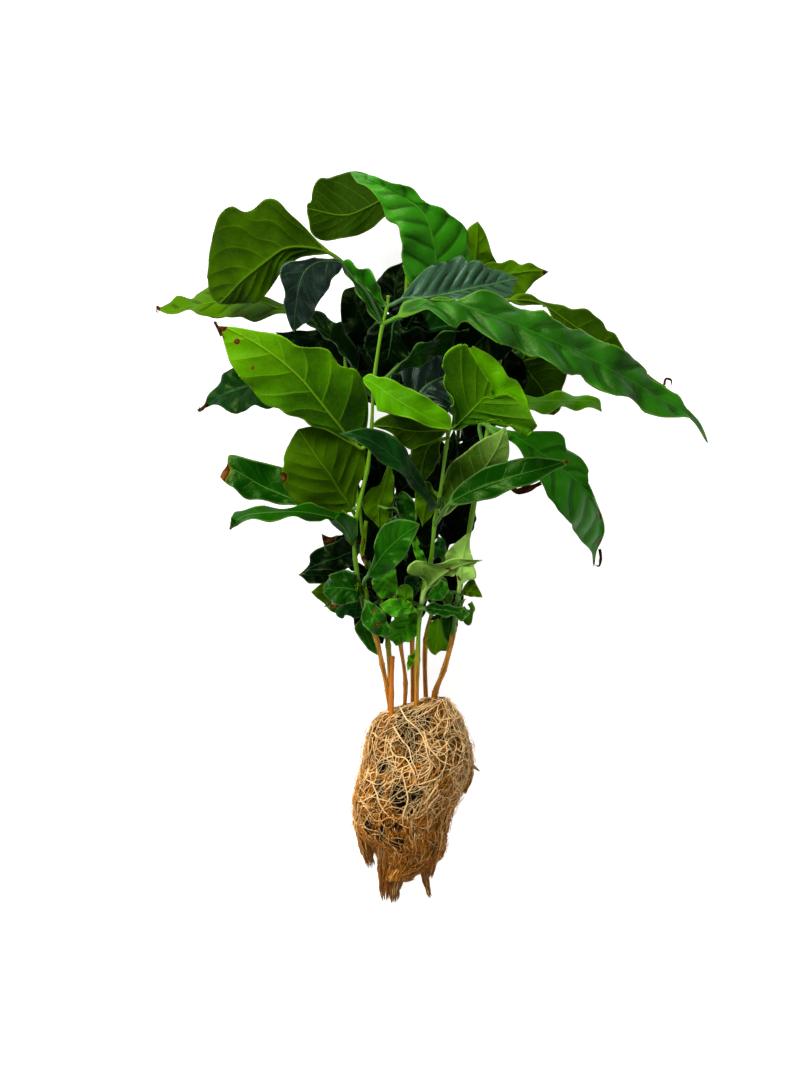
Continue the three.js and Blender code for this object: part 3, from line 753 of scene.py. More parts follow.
@dataclass(frozen=True)
class Leaf:
    """One leaf: it runs from a node of its stem, or from its own start, through its path to its tip.

    half is half of its greatest width in millimetres and face is where its upper side looks half
    way along. petiole and broadest are shares of its length. fold lifts its two halves from the
    midrib, cup bends them back, wave is how far its margin waves, waves how often, and drip draws
    in its tip. veins is how many side veins each half has, and quilt is how far the blade bulges
    between them in millimetres. light is 0 for a dark leaf to 1 for a light one: partly the leaf's
    own green, and partly painted light and shade for how it lies to the lamps and other leaves.
    painted_tip_light is painted light and shade along the leaf: how much lighter the tip is than
    the base. rib is how pale the midrib looks from above and slant how far the side veins lean to
    the tip. dry lists dried places as share along, share across and radius in millimetres, and
    solid says whether the leaf stands for a solid.
    """

    name: str
    stem: str
    node: float
    tone: Tone
    half: float
    face: Vector3
    path: tuple[Vector3, ...]
    petiole: float = 0.1
    broadest: float = 0.45
    fold: float = 0.2
    cup: float = -0.1
    wave: float = 1.2
    waves: int = 3
    drip: float = 0.5
    veins: int = 6
    quilt: float = 0.5
    light: float = 0.5
    painted_tip_light: float = 0.0
    rib: float = 0.7
    slant: float = 0.8
    dry: tuple[Vector3, ...] = ()
    start: Vector3 | None = None
    solid: bool = True

    def midline(self) -> Curve:
        """Curve of the midrib, from the stem or from the leaf's own start to the tip."""
        start = STEMS[self.stem].node(self.node) if self.start is None else self.start
        return Curve([start, *self.path])

    def spine(self, shares: Array) -> tuple[Array, Array, Array, float]:
        """Midrib places, the upper side's direction and the direction across, and the length.

        The upper side looks along face half way. From there the direction is carried both ways,
        each step taking out what points along the midrib, so the blade doesn't twist.

        Args:
            shares: Where along the midline, from 0 to 1.

        Returns:
            Three arrays with a row for each share, and the length in millimetres.
        """
        places, length = self.midline().by_length(shares)
        padded = np.vstack([places[:1], places, places[-1:]])
        forward = unit(padded[2:] - padded[:-2])
        middle = len(shares) // 2
        up = np.empty_like(places)
        up[middle] = self.square(np.array(self.face, float), forward[middle])
        for step in range(middle + 1, len(shares)):
            up[step] = self.square(up[step - 1], forward[step])
        for step in range(middle - 1, -1, -1):
            up[step] = self.square(up[step + 1], forward[step])
        return places, up, np.cross(forward, up), length

    @staticmethod
    def square(direction: Array, forward: Array) -> Array:
        """The direction made square to forward."""
        left = direction - forward * (direction @ forward)
        return left / np.linalg.norm(left)

    def half_width(self, blade: Array) -> Array:
        """Half-width: a sine of the share along, bent so that it peaks at broadest.

        Args:
            blade: Shares along the blade, which are below 0 on the stalk.

        Returns:
            Millimetres, and the stalk's radius where the blade is narrower near its base.
        """
        spread = np.log(0.5) / np.log(self.broadest)
        reach = np.clip(blade, 0.0, 1.0)
        width = self.half * np.sin(np.pi * reach**spread) ** 1.1
        width *= 1.0 - self.drip * smoothstep(reach, 0.82, 1.0)
        return np.where(blade < 0.5, np.maximum(width, min(PETIOLE_RADIUS, self.half)), width)

    def vein_count(self, blade: Array, across: Array, slant: Array) -> Array:
        """Which side vein a place is on: whole numbers lie on a vein.

        A vein leaves the midrib at a steep slant and bends towards the tip as it nears the margin.

        Args:
            blade: Shares along the blade.
            across: Shares from the midrib to a margin, from minus 1 to 1.
            slant: How far along the blade a vein runs until it meets the margin.

        Returns:
            The count at each place.
        """
        reach = np.abs(across)
        lag = slant * (0.75 * reach + 0.3 * reach**2)
        return self.veins * (blade - lag) * 1.15 + 0.22 * np.sign(across)

    def stalk_share(self) -> float:
        """Share of the midline that is stalk: up to where the margins begin, if they are given."""
        if self.name not in MARGINS:
            return self.petiole
        first = np.mean([side[0] for side in MARGINS[self.name]], axis=0)
        shares = np.linspace(0.0, 1.0, 401)
        places, length = self.midline().by_length(shares)
        nearest = shares[np.argmin(np.linalg.norm(places[:, :2] - first, axis=1))]
        return float(np.clip(nearest - 3.0 / length, 0.02, 0.85))

    def spans(self, blade: Array, places: Array, up: Array, sideways: Array) -> Array:
        """Vectors from the midrib to the margin on either side, of shape (rows, 2, 3).

        A margin is half a width away, tilted up by fold and cup. Where the leaf's margins are
        given, they are curves walked by length, and a margin's height follows from the tilt of
        the blade: the height times the upper side's Z is the rise less what X and Y already give.

        Args:
            blade: Shares along the blade, one to a row.
            places: Places of the midrib.
            up: The upper side's direction there.
            sideways: The direction across.

        Returns:
            The vectors.
        """
        tilt = float(np.clip(self.fold + self.cup, -0.8, 0.8))
        signs = np.array([-1.0, 1.0])[None, :, None]
        if self.name not in MARGINS:
            width = self.half_width(blade)[:, None, None]
            return width * (signs * np.sqrt(1 - tilt**2) * sideways[:, None] + tilt * up[:, None])
        shares = np.clip(blade, 0.0, 1.0)
        first = np.array([np.interp(0.0, blade, places[:, axis]) for axis in range(2)])
        tip = self.path[-1][:2]
        spans = np.stack([
            Curve([first, *side, tip]).by_length(shares)[0] - places[:, :2]
            for side in MARGINS[self.name]
        ], axis=1)
        lean = (spans * sideways[:, None, :2]).sum(axis=(0, 2))
        spans = spans[:, np.argsort(lean)]
        spans *= (blade > 0)[:, None, None]
        far = np.linalg.norm(spans, axis=-1)
        steep = np.where(up[:, 2] < 0, -1.0, 1.0) * np.maximum(np.abs(up[:, 2]), 0.5)
        rise = (tilt * far - (spans * up[:, None, :2]).sum(axis=-1)) / steep[:, None]
        rise = np.clip(rise, -1.1 * far, 1.1 * far)
        stem = PETIOLE_RADIUS * (1 - smoothstep(blade, 0.0, 0.12))[:, None, None]
        return np.concatenate([spans, rise[..., None]], axis=-1) + stem * signs * sideways[:, None]

    def mesh(self) -> MeshData:
        """Both skins of the leaf as one closed surface over share along and share across.

        The blade runs straight from midrib to margin. Off that go, times the width, cup times
        r squared less r, with r the share across, and a wave that grows as r to the power 1.5. The
        blade bulges between its side veins, and a bell-shaped rib stands on the midrib, higher
        below than above.

        Returns:
            The closed skin, which holds the values that its finish reads.
        """
        rows = 2 * int(np.clip(round(1.1 * self.half + 20), 24, 60))
        if self.name in MARGINS:
            rows = int(1.35 * rows)
        columns = int(np.clip(round(0.9 * self.half + 6), 10, 22))
        along = np.linspace(0.0, 1.0, rows + 1)
        places, up, sideways, length = self.spine(along)
        along, places, up, sideways = (item[:-1] for item in (along, places, up, sideways))
        petiole = self.stalk_share()
        blade = (along - petiole) / (1.0 - petiole)
        steps = np.linspace(0.0, 1.0, columns + 1) ** 1.3
        across = np.concatenate([-steps[::-1], steps[1:]])
        u, v = np.clip(blade, 0.0, 1.0)[:, None], across[None]
        reach = np.abs(v)
        sides = self.spans(blade, places, up, sideways)
        span = np.where(v[..., None] > 0, sides[:, 1:2], sides[:, 0:1])
        w = np.linalg.norm(span, axis=-1)
        flat = places[:, None] + span * reach[..., None]
        normal = unit(np.cross(np.gradient(flat, axis=1), np.gradient(flat, axis=0)))
        if (normal * up[:, None]).sum() < 0:
            normal = -normal
        stalk = smoothstep(blade, -0.01, 0.12)[:, None]
        normal = unit(lerp(up[:, None], normal, (stalk * (1 - smoothstep(u, 0.96, 1.0)))[..., None]))
        swell = np.sin(np.pi * u)
        widest = w.max(axis=1, keepdims=True)
        slant = np.clip(self.slant * widest / (length * (1 - petiole)), 0.0, 0.35)
        count = self.vein_count(u, v, slant)
        size = np.minimum(1.0, w / 9.0)
        phase = 2 * np.pi * self.waves * u + self.half * 1.7
        ripple = np.sin(phase + np.where(v > 0, 0.0, 1.9)) * swell
        frill = np.sin(2 * np.pi * count + 0.8) * swell
        fade = smoothstep(reach, 0.02, 0.28) * smoothstep(u, 0.0, 0.1) * (1 - smoothstep(u, 0.9, 1.0))
        bulge = np.abs(np.sin(np.pi * count)) ** 0.75 - 0.62
        sway = ripple_noise(flat, 22.0, 8)
        height = self.cup * w * (reach**2 - reach) * size + 1.5 * self.wave * reach**1.5 * ripple
        height = height + self.quilt * size * (fade * bulge + 0.6 * reach**3 * frill)
        height = height + 0.1 * np.minimum(w, 14.0) * reach * sway * swell
        if self.name not in MARGINS:
            flat = flat + span * ((0.035 * frill + 0.07 * sway) * reach**4)[..., None]
        millimetres = v * w
        rib_above = 0.30 * np.exp(-((millimetres / 0.5) ** 2)) * (1 - 0.6 * u)
        rib_below = lerp(0.8, 0.25, u) * np.exp(-((millimetres / lerp(0.6, 0.35, u)) ** 2))
        vein_below = 0.22 * np.maximum(0.0, 1 - np.abs(np.sin(np.pi * count)) * 3.0) * fade
        edge = (1 - reach**6) ** 0.5
        round_stalk = 0.95 * min(PETIOLE_RADIUS, self.half) * np.sqrt(1 - reach**2)
        above = lerp(round_stalk, (BLADE_SKIN + rib_above) * edge, stalk)
        below = lerp(round_stalk, (BLADE_SKIN + rib_below + vein_below) * edge, stalk)
        top = flat + (height * stalk + above)[..., None] * normal
        low = flat + (height * stalk - below)[..., None] * normal
        rings = np.concatenate([top, low[:, -2:0:-1]], axis=1)
        dryness = self.dryness(u, v, w, length)
        ones = np.ones_like(millimetres)
        slim = float(np.clip(self.half / 15.0, 0.3, 1.0)) * (1 - 0.5 * u)
        # Lightness of the tint: the leaf's light, plus painted light towards the tip and painted shade
        # towards the base
        light = self.light + self.painted_tip_light * (u - 0.5)
        values = {
            key: np.stack([part * ones for part in parts], axis=-1)
            for key, parts in {
                "blade": (count, millimetres / slim, (1.0 - reach) * w * stalk),
                "state": (u, dryness, ones),
                "tint": (light, self.rib, ones),
            }.items()
        }
        under = {**values, "state": values["state"] * np.array([1.0, 1.0, 0.0])}
        values = {
            key: np.concatenate([value, under[key][:, -2:0:-1]], axis=1)[None]
            for key, value in values.items()
        }
        tip = self.midline().at(np.array([1.0]))
        return outward(rings_mesh(rings[None], places[:1], tip, values))

    def dryness(self, blade: Array, across: Array, width: Array, length: float) -> Array:
        """How dry each place is: 1 in the middle of a dried place, falling to 0 at its radius.

        Args:
            blade: Shares along the blade.
            across: Shares across it.
            width: Millimetres from the midrib to the margin.
            length: Millimetres from the stem to the tip.

        Returns:
            The dryness, from 0 to 1.
        """
        most = np.zeros(np.broadcast_shapes(blade.shape, across.shape))
        for place, off, radius in self.dry:
            gap = np.hypot((blade - place) * length, (across - off) * np.maximum(width, 2.0))
            most = np.maximum(most, 1.0 - gap / radius)
        return most


# Margins of the leaves that show most, in tenths of a millimetre: for either side its first place
# at the blade's base, then the steps from point to point up to the tip, X and Y in turn
MARGIN_STEPS: dict[str, tuple[tuple[int, ...], ...]] = {
    "upper_left": ((-440, 1168, -51, 59, -59, 55, -56, 55, -47, 0, -51, -41, -31, -6, -44, 24, -44, -26,
        -28, -58, -25, -78, -4, -66, 3, -78, 15, -51), (-413, 1128, -51, -11, -47, -12, -40, -16,
        -27, -15, -16, -28, -20, -38, -28, -31, -29, -26, -48, -19, -56, -3)),
    "crown_back": ((-141, 1429, -60, 29, -60, 21, -61, 9, -28, 1, -28, -7, -33, -20, -32, -4, -20, -20,
        -12, -36, -4, -36, -17, -12), (-141, 1345, -20, -27, -24, -24, -36, -31, -37, -20, -40, -19,
        -44, -12, -49, -4, -52, 2, -36, 27, -8, 44, -9, 40)),
    "dark_hanging": ((-369, 1102, -31, -4, -27, 0, -28, 10, -35, -6, -31, -8, -32, -8, -23, -16, -12, -27,
        0, -27, 11, -27, 6, -31, -4, -31, 7, -35, 10, -35, 12, -28), (-341, 1075, -16, -28, -19, -12,
        -16, -20, -2, -27, -17, -24, -24, -23, -16, -27, -4, -27, -20, -27, -28, -11, -16, -16)),
    "far_left": ((-561, 946, -28, 0, -44, 11, -39, 13, -39, 9, -48, 1, -39, 2, -27, 11, -16, 19, -24, 2,
        -40, -6, -28, -16, -20, -24, -28, 1, -27, 0, -25, -20, -24, -12), (-553, 910, -28, -9, -39, -1,
        -39, -17, -40, -13, -47, -1, -43, 7, -40, 17, -48, 4, -48, -4, -32, 14, -40, -4, -48, 0)),
    "crown": ((-72, 998, -24, 47, -12, 63, -4, 47, -11, 55, -8, 39, -28, 14, -16, 13, -20, 57, -32, 49,
        -36, 29, -28, 13, -16, 21), (88, 1019, 72, 59, 4, 51, -13, 47, 0, 43, -16, 27, -20, 23, -35, 25,
        -16, 17, -20, 21, -44, 0, -24, 9, -36, 31, -44, 21, -40, 22, -55, 23, -60, 19)),
    "quilted": ((-114, 949, 8, 19, 23, 32, 32, 36, 27, 27, 24, 18, 28, 14, 39, 2, 31, 14, 32, 6, 16, -22,
        23, 9, 24, -4, 20, -20, 24, -11, 39, -6, 28, -10, 24, -11), (-102, 943, 43, -2, 39, 0, 59, 0,
        59, 4, 60, 0, 47, 1, 51, 4, 40, 4, 23, 12, 8, 28, 12, 24)),
    "long_right": ((-110, 926, 39, 16, 36, 7, 43, -15, 51, -4, 51, 11, 47, 16, 47, 14, 31, -1, 32, -6,
        31, -11, 23, -16, 20, -14, 20, -14, 23, -14, 23, -4, 28, 2, 19, -14, 20, -17, 27, -8, 35, -14,
        28, -10, 28, 6, 23, -9, 24, -19, 28, -27, 39, -24, 40, -19, 32, -8, 31, -15, 28, -15, 16, -24,
        12, -35, 40, -27, 32, -27, 28, -14, 20, -21, 20, -26, 28, -21, 24, -24, 16, -27, 16, -40),
        (-106, 879, 47, 12, 51, 9, 35, -29, 24, -20, 27, -12, 24, 0, 23, 16, 24, 0, 20, -20, 27, -32,
        31, -27, 32, -20, 35, -8, 31, 10, 24, -2, 35, -24, 39, -23, 27, -28, 32, -19, 35, -14, 36, -1,
        35, 2, 28, -17, 32, -24, 23, -23, 36, -23, 32, -12, 55, -2, 32, -17, 32, -27, 40, -20, 47, -5,
        48, 0, 40, -6, 24, -18, 20, -29, 16, -35)),
    "lime": ((-248, 649, 20, 4, 28, -14, 31, -3, 32, -12, 27, -16, 35, -14, 36, -21, 39, -20, 31, -23,
        28, -22, 18, -21, 5, -28), (-252, 610, 20, -32, 16, -40, 8, -36, 28, -4, 35, -4, 47, -15, 51, -20,
        47, -16, 39, -7)),
    "cupped": ((90, 474, -3, 51, -11, 56, -15, 62, -12, 47, 5, 37, 21, 25, 37, 11, 32, -8, 16, -23,
        34, -51, 22, -33, 19, -34, 1, -33), (101, 437, 39, 11, 28, 13, 28, 5, 40, -2, 33, -4, 34, -7,
        34, -8, 33, -8, 27, -7, 19, 19, -19, 35, -29, 33, -31, 25, -40, 28, -22, -9)),
    "turned_half": ((160, 759, 65, -25, 28, -20, 28, -28, 23, -42, 19, -9, 20, -11, 17, -25, 14, -34,
        11, -39, 17, -40, 17, -31), (141, 739, 39, -61, 25, -40, 17, -34, 3, -33, 22, -23, 40, 6, 39, -17,
        34, -28, 34, -34, 19, -28)),
    "big_left": ((-261, 419, 20, 71, -4, 79, -23, 58, -32, 49, -27, 4, -27, 7, -20, 29, -19, 27, -35, 12,
        -52, 2, -47, 7, -39, 28, -43, 18, -79, 13, -67, 12), (-336, 396, -79, 39, -55, 11, -31, 27,
        -43, 16, -31, 15, -23, 17, -47, 8, -35, 29, -28, 39, -35, 36, -27, 39, -24, 43, -16, 47,
        -11, 44)),
    "round_left": ((-378, 101, -67, 18, -59, 16, -40, 24, -27, 27, -15, 40, -4, 35, 12, 36, 0, 36, 12, 39,
        20, 36), (-294, 159, 12, 60, 20, 67, 12, 71, -3, 51, -44, 28, -59, 9, -60, 0, -51, 4)),
    "left_brown_tip": ((-486, 179, -32, 52, -32, 32, -32, 24, -48, 14, -56, 14, -60, 16, -60, 8, -4, -40,
        -20, -27), (-526, 136, -52, 2, -60, 14, -56, 6, -36, 6, -28, 20, -24, 20, -24, 16, -20, 16)),
    "left_low": ((-290, 32, 2, 55, -38, 12, -39, 16, -51, 10, -39, 2, -28, 11, -63, 0, -67, -4, -67, -9,
        -59, -8, -40, -6, -8, -32), (-326, -4, -27, 40, -28, 29, -27, 18, -67, -6, -79, 4, -79, 0,
        -71, -6, -43, -12, -24, -12)),
    "left_behind": ((-583, 651, -60, 32, -60, 16, -48, 0, -28, -8, -28, -12, -29, -16, -12, -28, -24, -28,
        -20, -28, -13, -32), (-555, 563, -48, -16, -48, -9, -52, -6, -32, -14, -36, -4, -37, 0, -24, 16,
        -28, 9, -33, -4)),
    "dark_diagonal": ((4, 174, -28, 47, -19, 44, -20, 47, -24, 38, -31, 30, -31, 27, -32, 21, -39, 10,
        -39, 2, -39, -8), (-4, 111, -24, 51, -51, 55, -51, 47, -47, 35, -39, 31, -43, 30, -43, 31)),
    "pale": ((32, 127, 8, 56, 12, 55, 20, 52, 31, 32, 36, 30, 44, 32, 44, 26, 36, 18), (79, 111, 60, 48,
        80, 48, 59, 51, 28, 56, 12, 44, -4, 40, -8, 28)),
    "right_low": ((83, 170, 16, 28, 32, 35, 35, 24, 51, 28, 60, 19, 47, 14, 55, 8, 56, 0, 47, -4, 40, -6),
        (119, 139, 39, 4, 48, 13, 51, 14, 51, 20, 48, 17, 47, 18, 52, 24, 43, 26, 36, 18)),
    "right_hanging": ((247, 451, 52, -12, 52, -6, 56, 2, 56, 0, 44, -4, 28, -24, 12, -44, 32, -18,
        29, -21, 25, -44, 0, -39, 21, -52, 29, -60, 17, -65, -7, -56, -15, -44), (247, 427, 32, -12,
        32, -20, 40, -32, 28, -36, 24, -56, 28, -47, 40, -36, 29, -40, 5, -32, 24, -28, 29, -24, 29, -36,
        29, -40, 29, -30)),
    "behind_long": ((339, 972, 59, 8, 40, -24, 48, -12, 44, -8, 31, -16, 60, 0, 32, -24, 40, -28, 16, -31,
        28, -12, 21, -39, 20, -36, 60, -55, 53, -48), (359, 938, 59, -2, 40, -4, 16, -24, 16, -32,
        36, -48, 56, -55, 96, -63, 120, -60, 80, -31)),
    "brown_tip_right": ((204, 1098, 36, 17, 48, -6, 36, 13, 40, -20, 32, 8, 36, -17), (208, 1002, 52, -37,
        68, 0, 40, 11, 20, 24, 24, 24, 32, 25)),
    "olive_up": ((121, 968, -4, 121, 12, 100, 24, 64, 20, 17), (210, 969, 64, 80, -4, 68, -20, 44,
        -16, 47, -17, 40)),
    "olive_shade": ((401, 770, -16, -32, -16, -40, -20, -44, 4, -52, 32, -52, 48, -37), (521, 754,
        32, -64, -7, -44, -16, -44, 4, -40, -13, -41)),
    "right_narrow": ((327, 570, 51, 4, 60, 6, 60, 1, 48, 9, 44, -6, 48, -14, 40, -12), (339, 510, 59, -4,
        60, 6, 60, 6, 60, 4, 52, 4, 32, -8)),
    "centre_glossy": ((-239, -116, 16, 52, 0, 44, 17, 48, 23, 37, 40, 14, 44, 2, 32, -6), (-207, -151,
        40, 20, 32, 24, 28, 32, 24, 39, 20, 44)),
    "low_left_dark": ((-309, 0, -40, 12, -32, -20, -39, -12, -32, -16, -25, -28, -8, -28, -20, -28),
        (-305, -104, -43, -16, -52, -4, -49, 4, -40, -2)),
    "low_left_light": ((-322, -173, -48, 40, -41, -16, -28, -28), (-314, -290, -56, -8, -29, 16, -28, 24,
        -24, 20)),
    "low_left_round": ((-279, -159, -20, 27, -32, 12, -36, -6, -28, -10, -20, -24), (-287, -239, -40, -16,
        -40, -8, -32, 16, -16, 20)),
    "low_centre_left": ((-271, -287, -4, -32, 20, -36, 32, -24, 39, -6), (-223, -255, 28, -20, 20, -28,
        9, -40)),
    "low_centre_green": ((-220, -140, -16, -32, 12, -32, 28, -24), (-140, -108, 8, -44, 4, -44, -8, -24)),
    "low_centre": ((-76, -285, -48, -12, -32, -28, -10, -44, 10, -36), (-40, -329, -8, -40, -20, -28,
        -32, -16)),
    "low_hanging_left": ((-286, -326, -16, -20, 0, -22, 16, -22, 20, -28, 20, -25), (-257, -346, 24, -28,
        16, -36, 8, -33)),
    "spoon": ((-24, -155, -36, 18, -31, 18, 4, 18, 39, 6, 56, 4, 63, 8, 68, 8), (16, -179, 44, 28, 51, 28,
        48, 22)),
    "pale_right": ((104, -140, -32, 52, -14, 28, 26, 30, 32, 30, 24, 20), (160, -160, 24, 16, -8, 44,
        -12, 48, -4, 44)),
    "small_right": ((140, -180, 36, 24, 12, -28, 16, -24), (160, -227, 28, -2)),
    "low_round": ((0, -172, 40, 20, 24, -8, 12, -32, 12, -40), (-16, -240, 40, -2, 24, -6, 16, -16)),
    "low_right": ((4, -251, 44, -4, 40, -8, 32, 0), (8, -301, 52, -2, 40, -8, 32, -8)),
    "low_right_back": ((0, -339, -12, -48, 0, -41, 12, -24), (65, -323, 26, -12, -10, -56, -12, -53,
        -25, -6)),
    "under_lime": ((28, 473, -87, 36, -79, 0, -59, -28), (39, 402, -39, -21, -39, -10, -36, -16, -35, 20,
        -40, 43, -47, 20)),
    "olive_centre": ((-179, 271, -20, -44, -36, -24, -32, -36, -8, -28, 20, -35), (-148, 267, 5, -68,
        -12, -71, -12, -52)),
    "dark_left": ((-306, 684, -32, 43, -39, 43, -52, 44, -43, 30), (-278, 724, -28, 51, -24, 51, -23, 40,
        -24, -9, -24, 20, -20, 28, -28, 8, -27, -20)),
    "dark_top": ((-185, 927, -25, 57, -4, 53, 16, 33, 20, 20, 33, 17), (-73, 919, 17, 90, -21, 81)),
    "dark_level": ((-342, 846, -61, 12, -60, -8, -61, -6, -60, -6), (-302, 733, -81, -8, -101, 13,
        -80, 48)),
    "inner_curved": ((-139, 684, 52, 52, 55, 47, 56, 30, 63, 17), (-127, 664, 59, 24, 68, 23, 60, 28,
        51, 44)),
    "inner_high_left": ((-289, 770, -48, 40, -20, 81, 0, 72, 12, 41), (-180, 782, 12, 101, -33, 88,
        -48, 40, -32, 9)),
    "under_low_left_dark": ((-381, -104, -69, 0), (-341, -165, -52, 0, -36, -8, -33, -4, -28, 4,
        -20, 20)),
    "brown_corner": ((-338, 24, -32, -4, -24, -8, -20, 4), (-342, -36, -40, 8, -40, -4, -8, 28)),
    "bluish": ((-281, -244, -40, 0, -32, -9), (-273, -305, -20, -8, -28, 6, -20, 4, -16, -12, -16, 14)),
    "bright_crinkled": ((-72, -252, -48, 21, -40, -4), (-100, -299, -48, -8, -32, 20)),
    "bright_upper": ((-124, -259, -8, 40, 4, 32), (-76, -271, 10, 40, -6, 40, -16, 13)),
    "green_strip": ((-48, -100, -16, 52, -8, 36), (-12, -100, -8, 36, -16, 40)),
    "yellow_foot": ((-291, -175, 0, -32), (-255, -171, 4, -28, -12, -24)),
    "round_lobe": ((100, -284, 12, -34, 32, -12, 24, 10, 12, 28), (128, -244, 6, -26, 14, -4, 10, 18)),
    "beside_right_stem": ((4, -200, 20, 28, 32, 12), (12, -240, 36, 0)),
    "winged_stalk_upper": ((-177, 931, -16, 32, -7, 31, -12, 39, -24, 20, -39, 16, -32, 21, -23, 10),
        (-196, 920, -40, 39, -39, 43, -39, 47, -28, 28)),
    "winged_stalk_lower": ((-212, 861, -32, 39, -27, 43, -24, 44, -27, 39, -24, 43), (-185, 896, -27, 47,
        -32, 40, -31, 43, -39, 47)),
}
MARGINS = {
    name: tuple(np.cumsum(np.reshape(side, (-1, 2)), axis=0) / 10 for side in sides)
    for name, sides in MARGIN_STEPS.items()
}

# Short names for the finishes in the rows below
F, S, L, M, D, G, H, O, P = Tone


def hidden(
    name: str, stem: str, node: float, tone: Tone, half: float, *path: Vector3, **more: Any,
) -> Leaf:
    """A small or hidden leaf without a solid of its own, which faces up if nothing else is said.

    Args:
        name: As the leaf's field, and so are stem, node, tone and half.
        path: The points of its midrib after its stem.
        more: Others of the leaf's fields.

    Returns:
        The leaf.
    """
    return Leaf(name, stem, node, tone, half, path=path, solid=False, **({"face": (0, 0, 1)} | more))


def dried(name: str, half: float, start: Vector3, *path: Vector3, **more: Any) -> Leaf:
    """A dried curl or scrap, brown all over if nothing else is said.

    Args:
        name: Its name.
        half: Half of its width in millimetres.
        start: Where it begins.
        path: Its other points.
        more: Others of the leaf's fields.

    Returns:
        The piece as a leaf of its own.
    """
    usual = {"veins": 2, "quilt": 0.0, "wave": 0.3, "petiole": 0.02, "dry": ((0.5, 25, 100.0),)}
    return hidden(name, "left", 11, O, half, *path, start=start, **(usual | more))


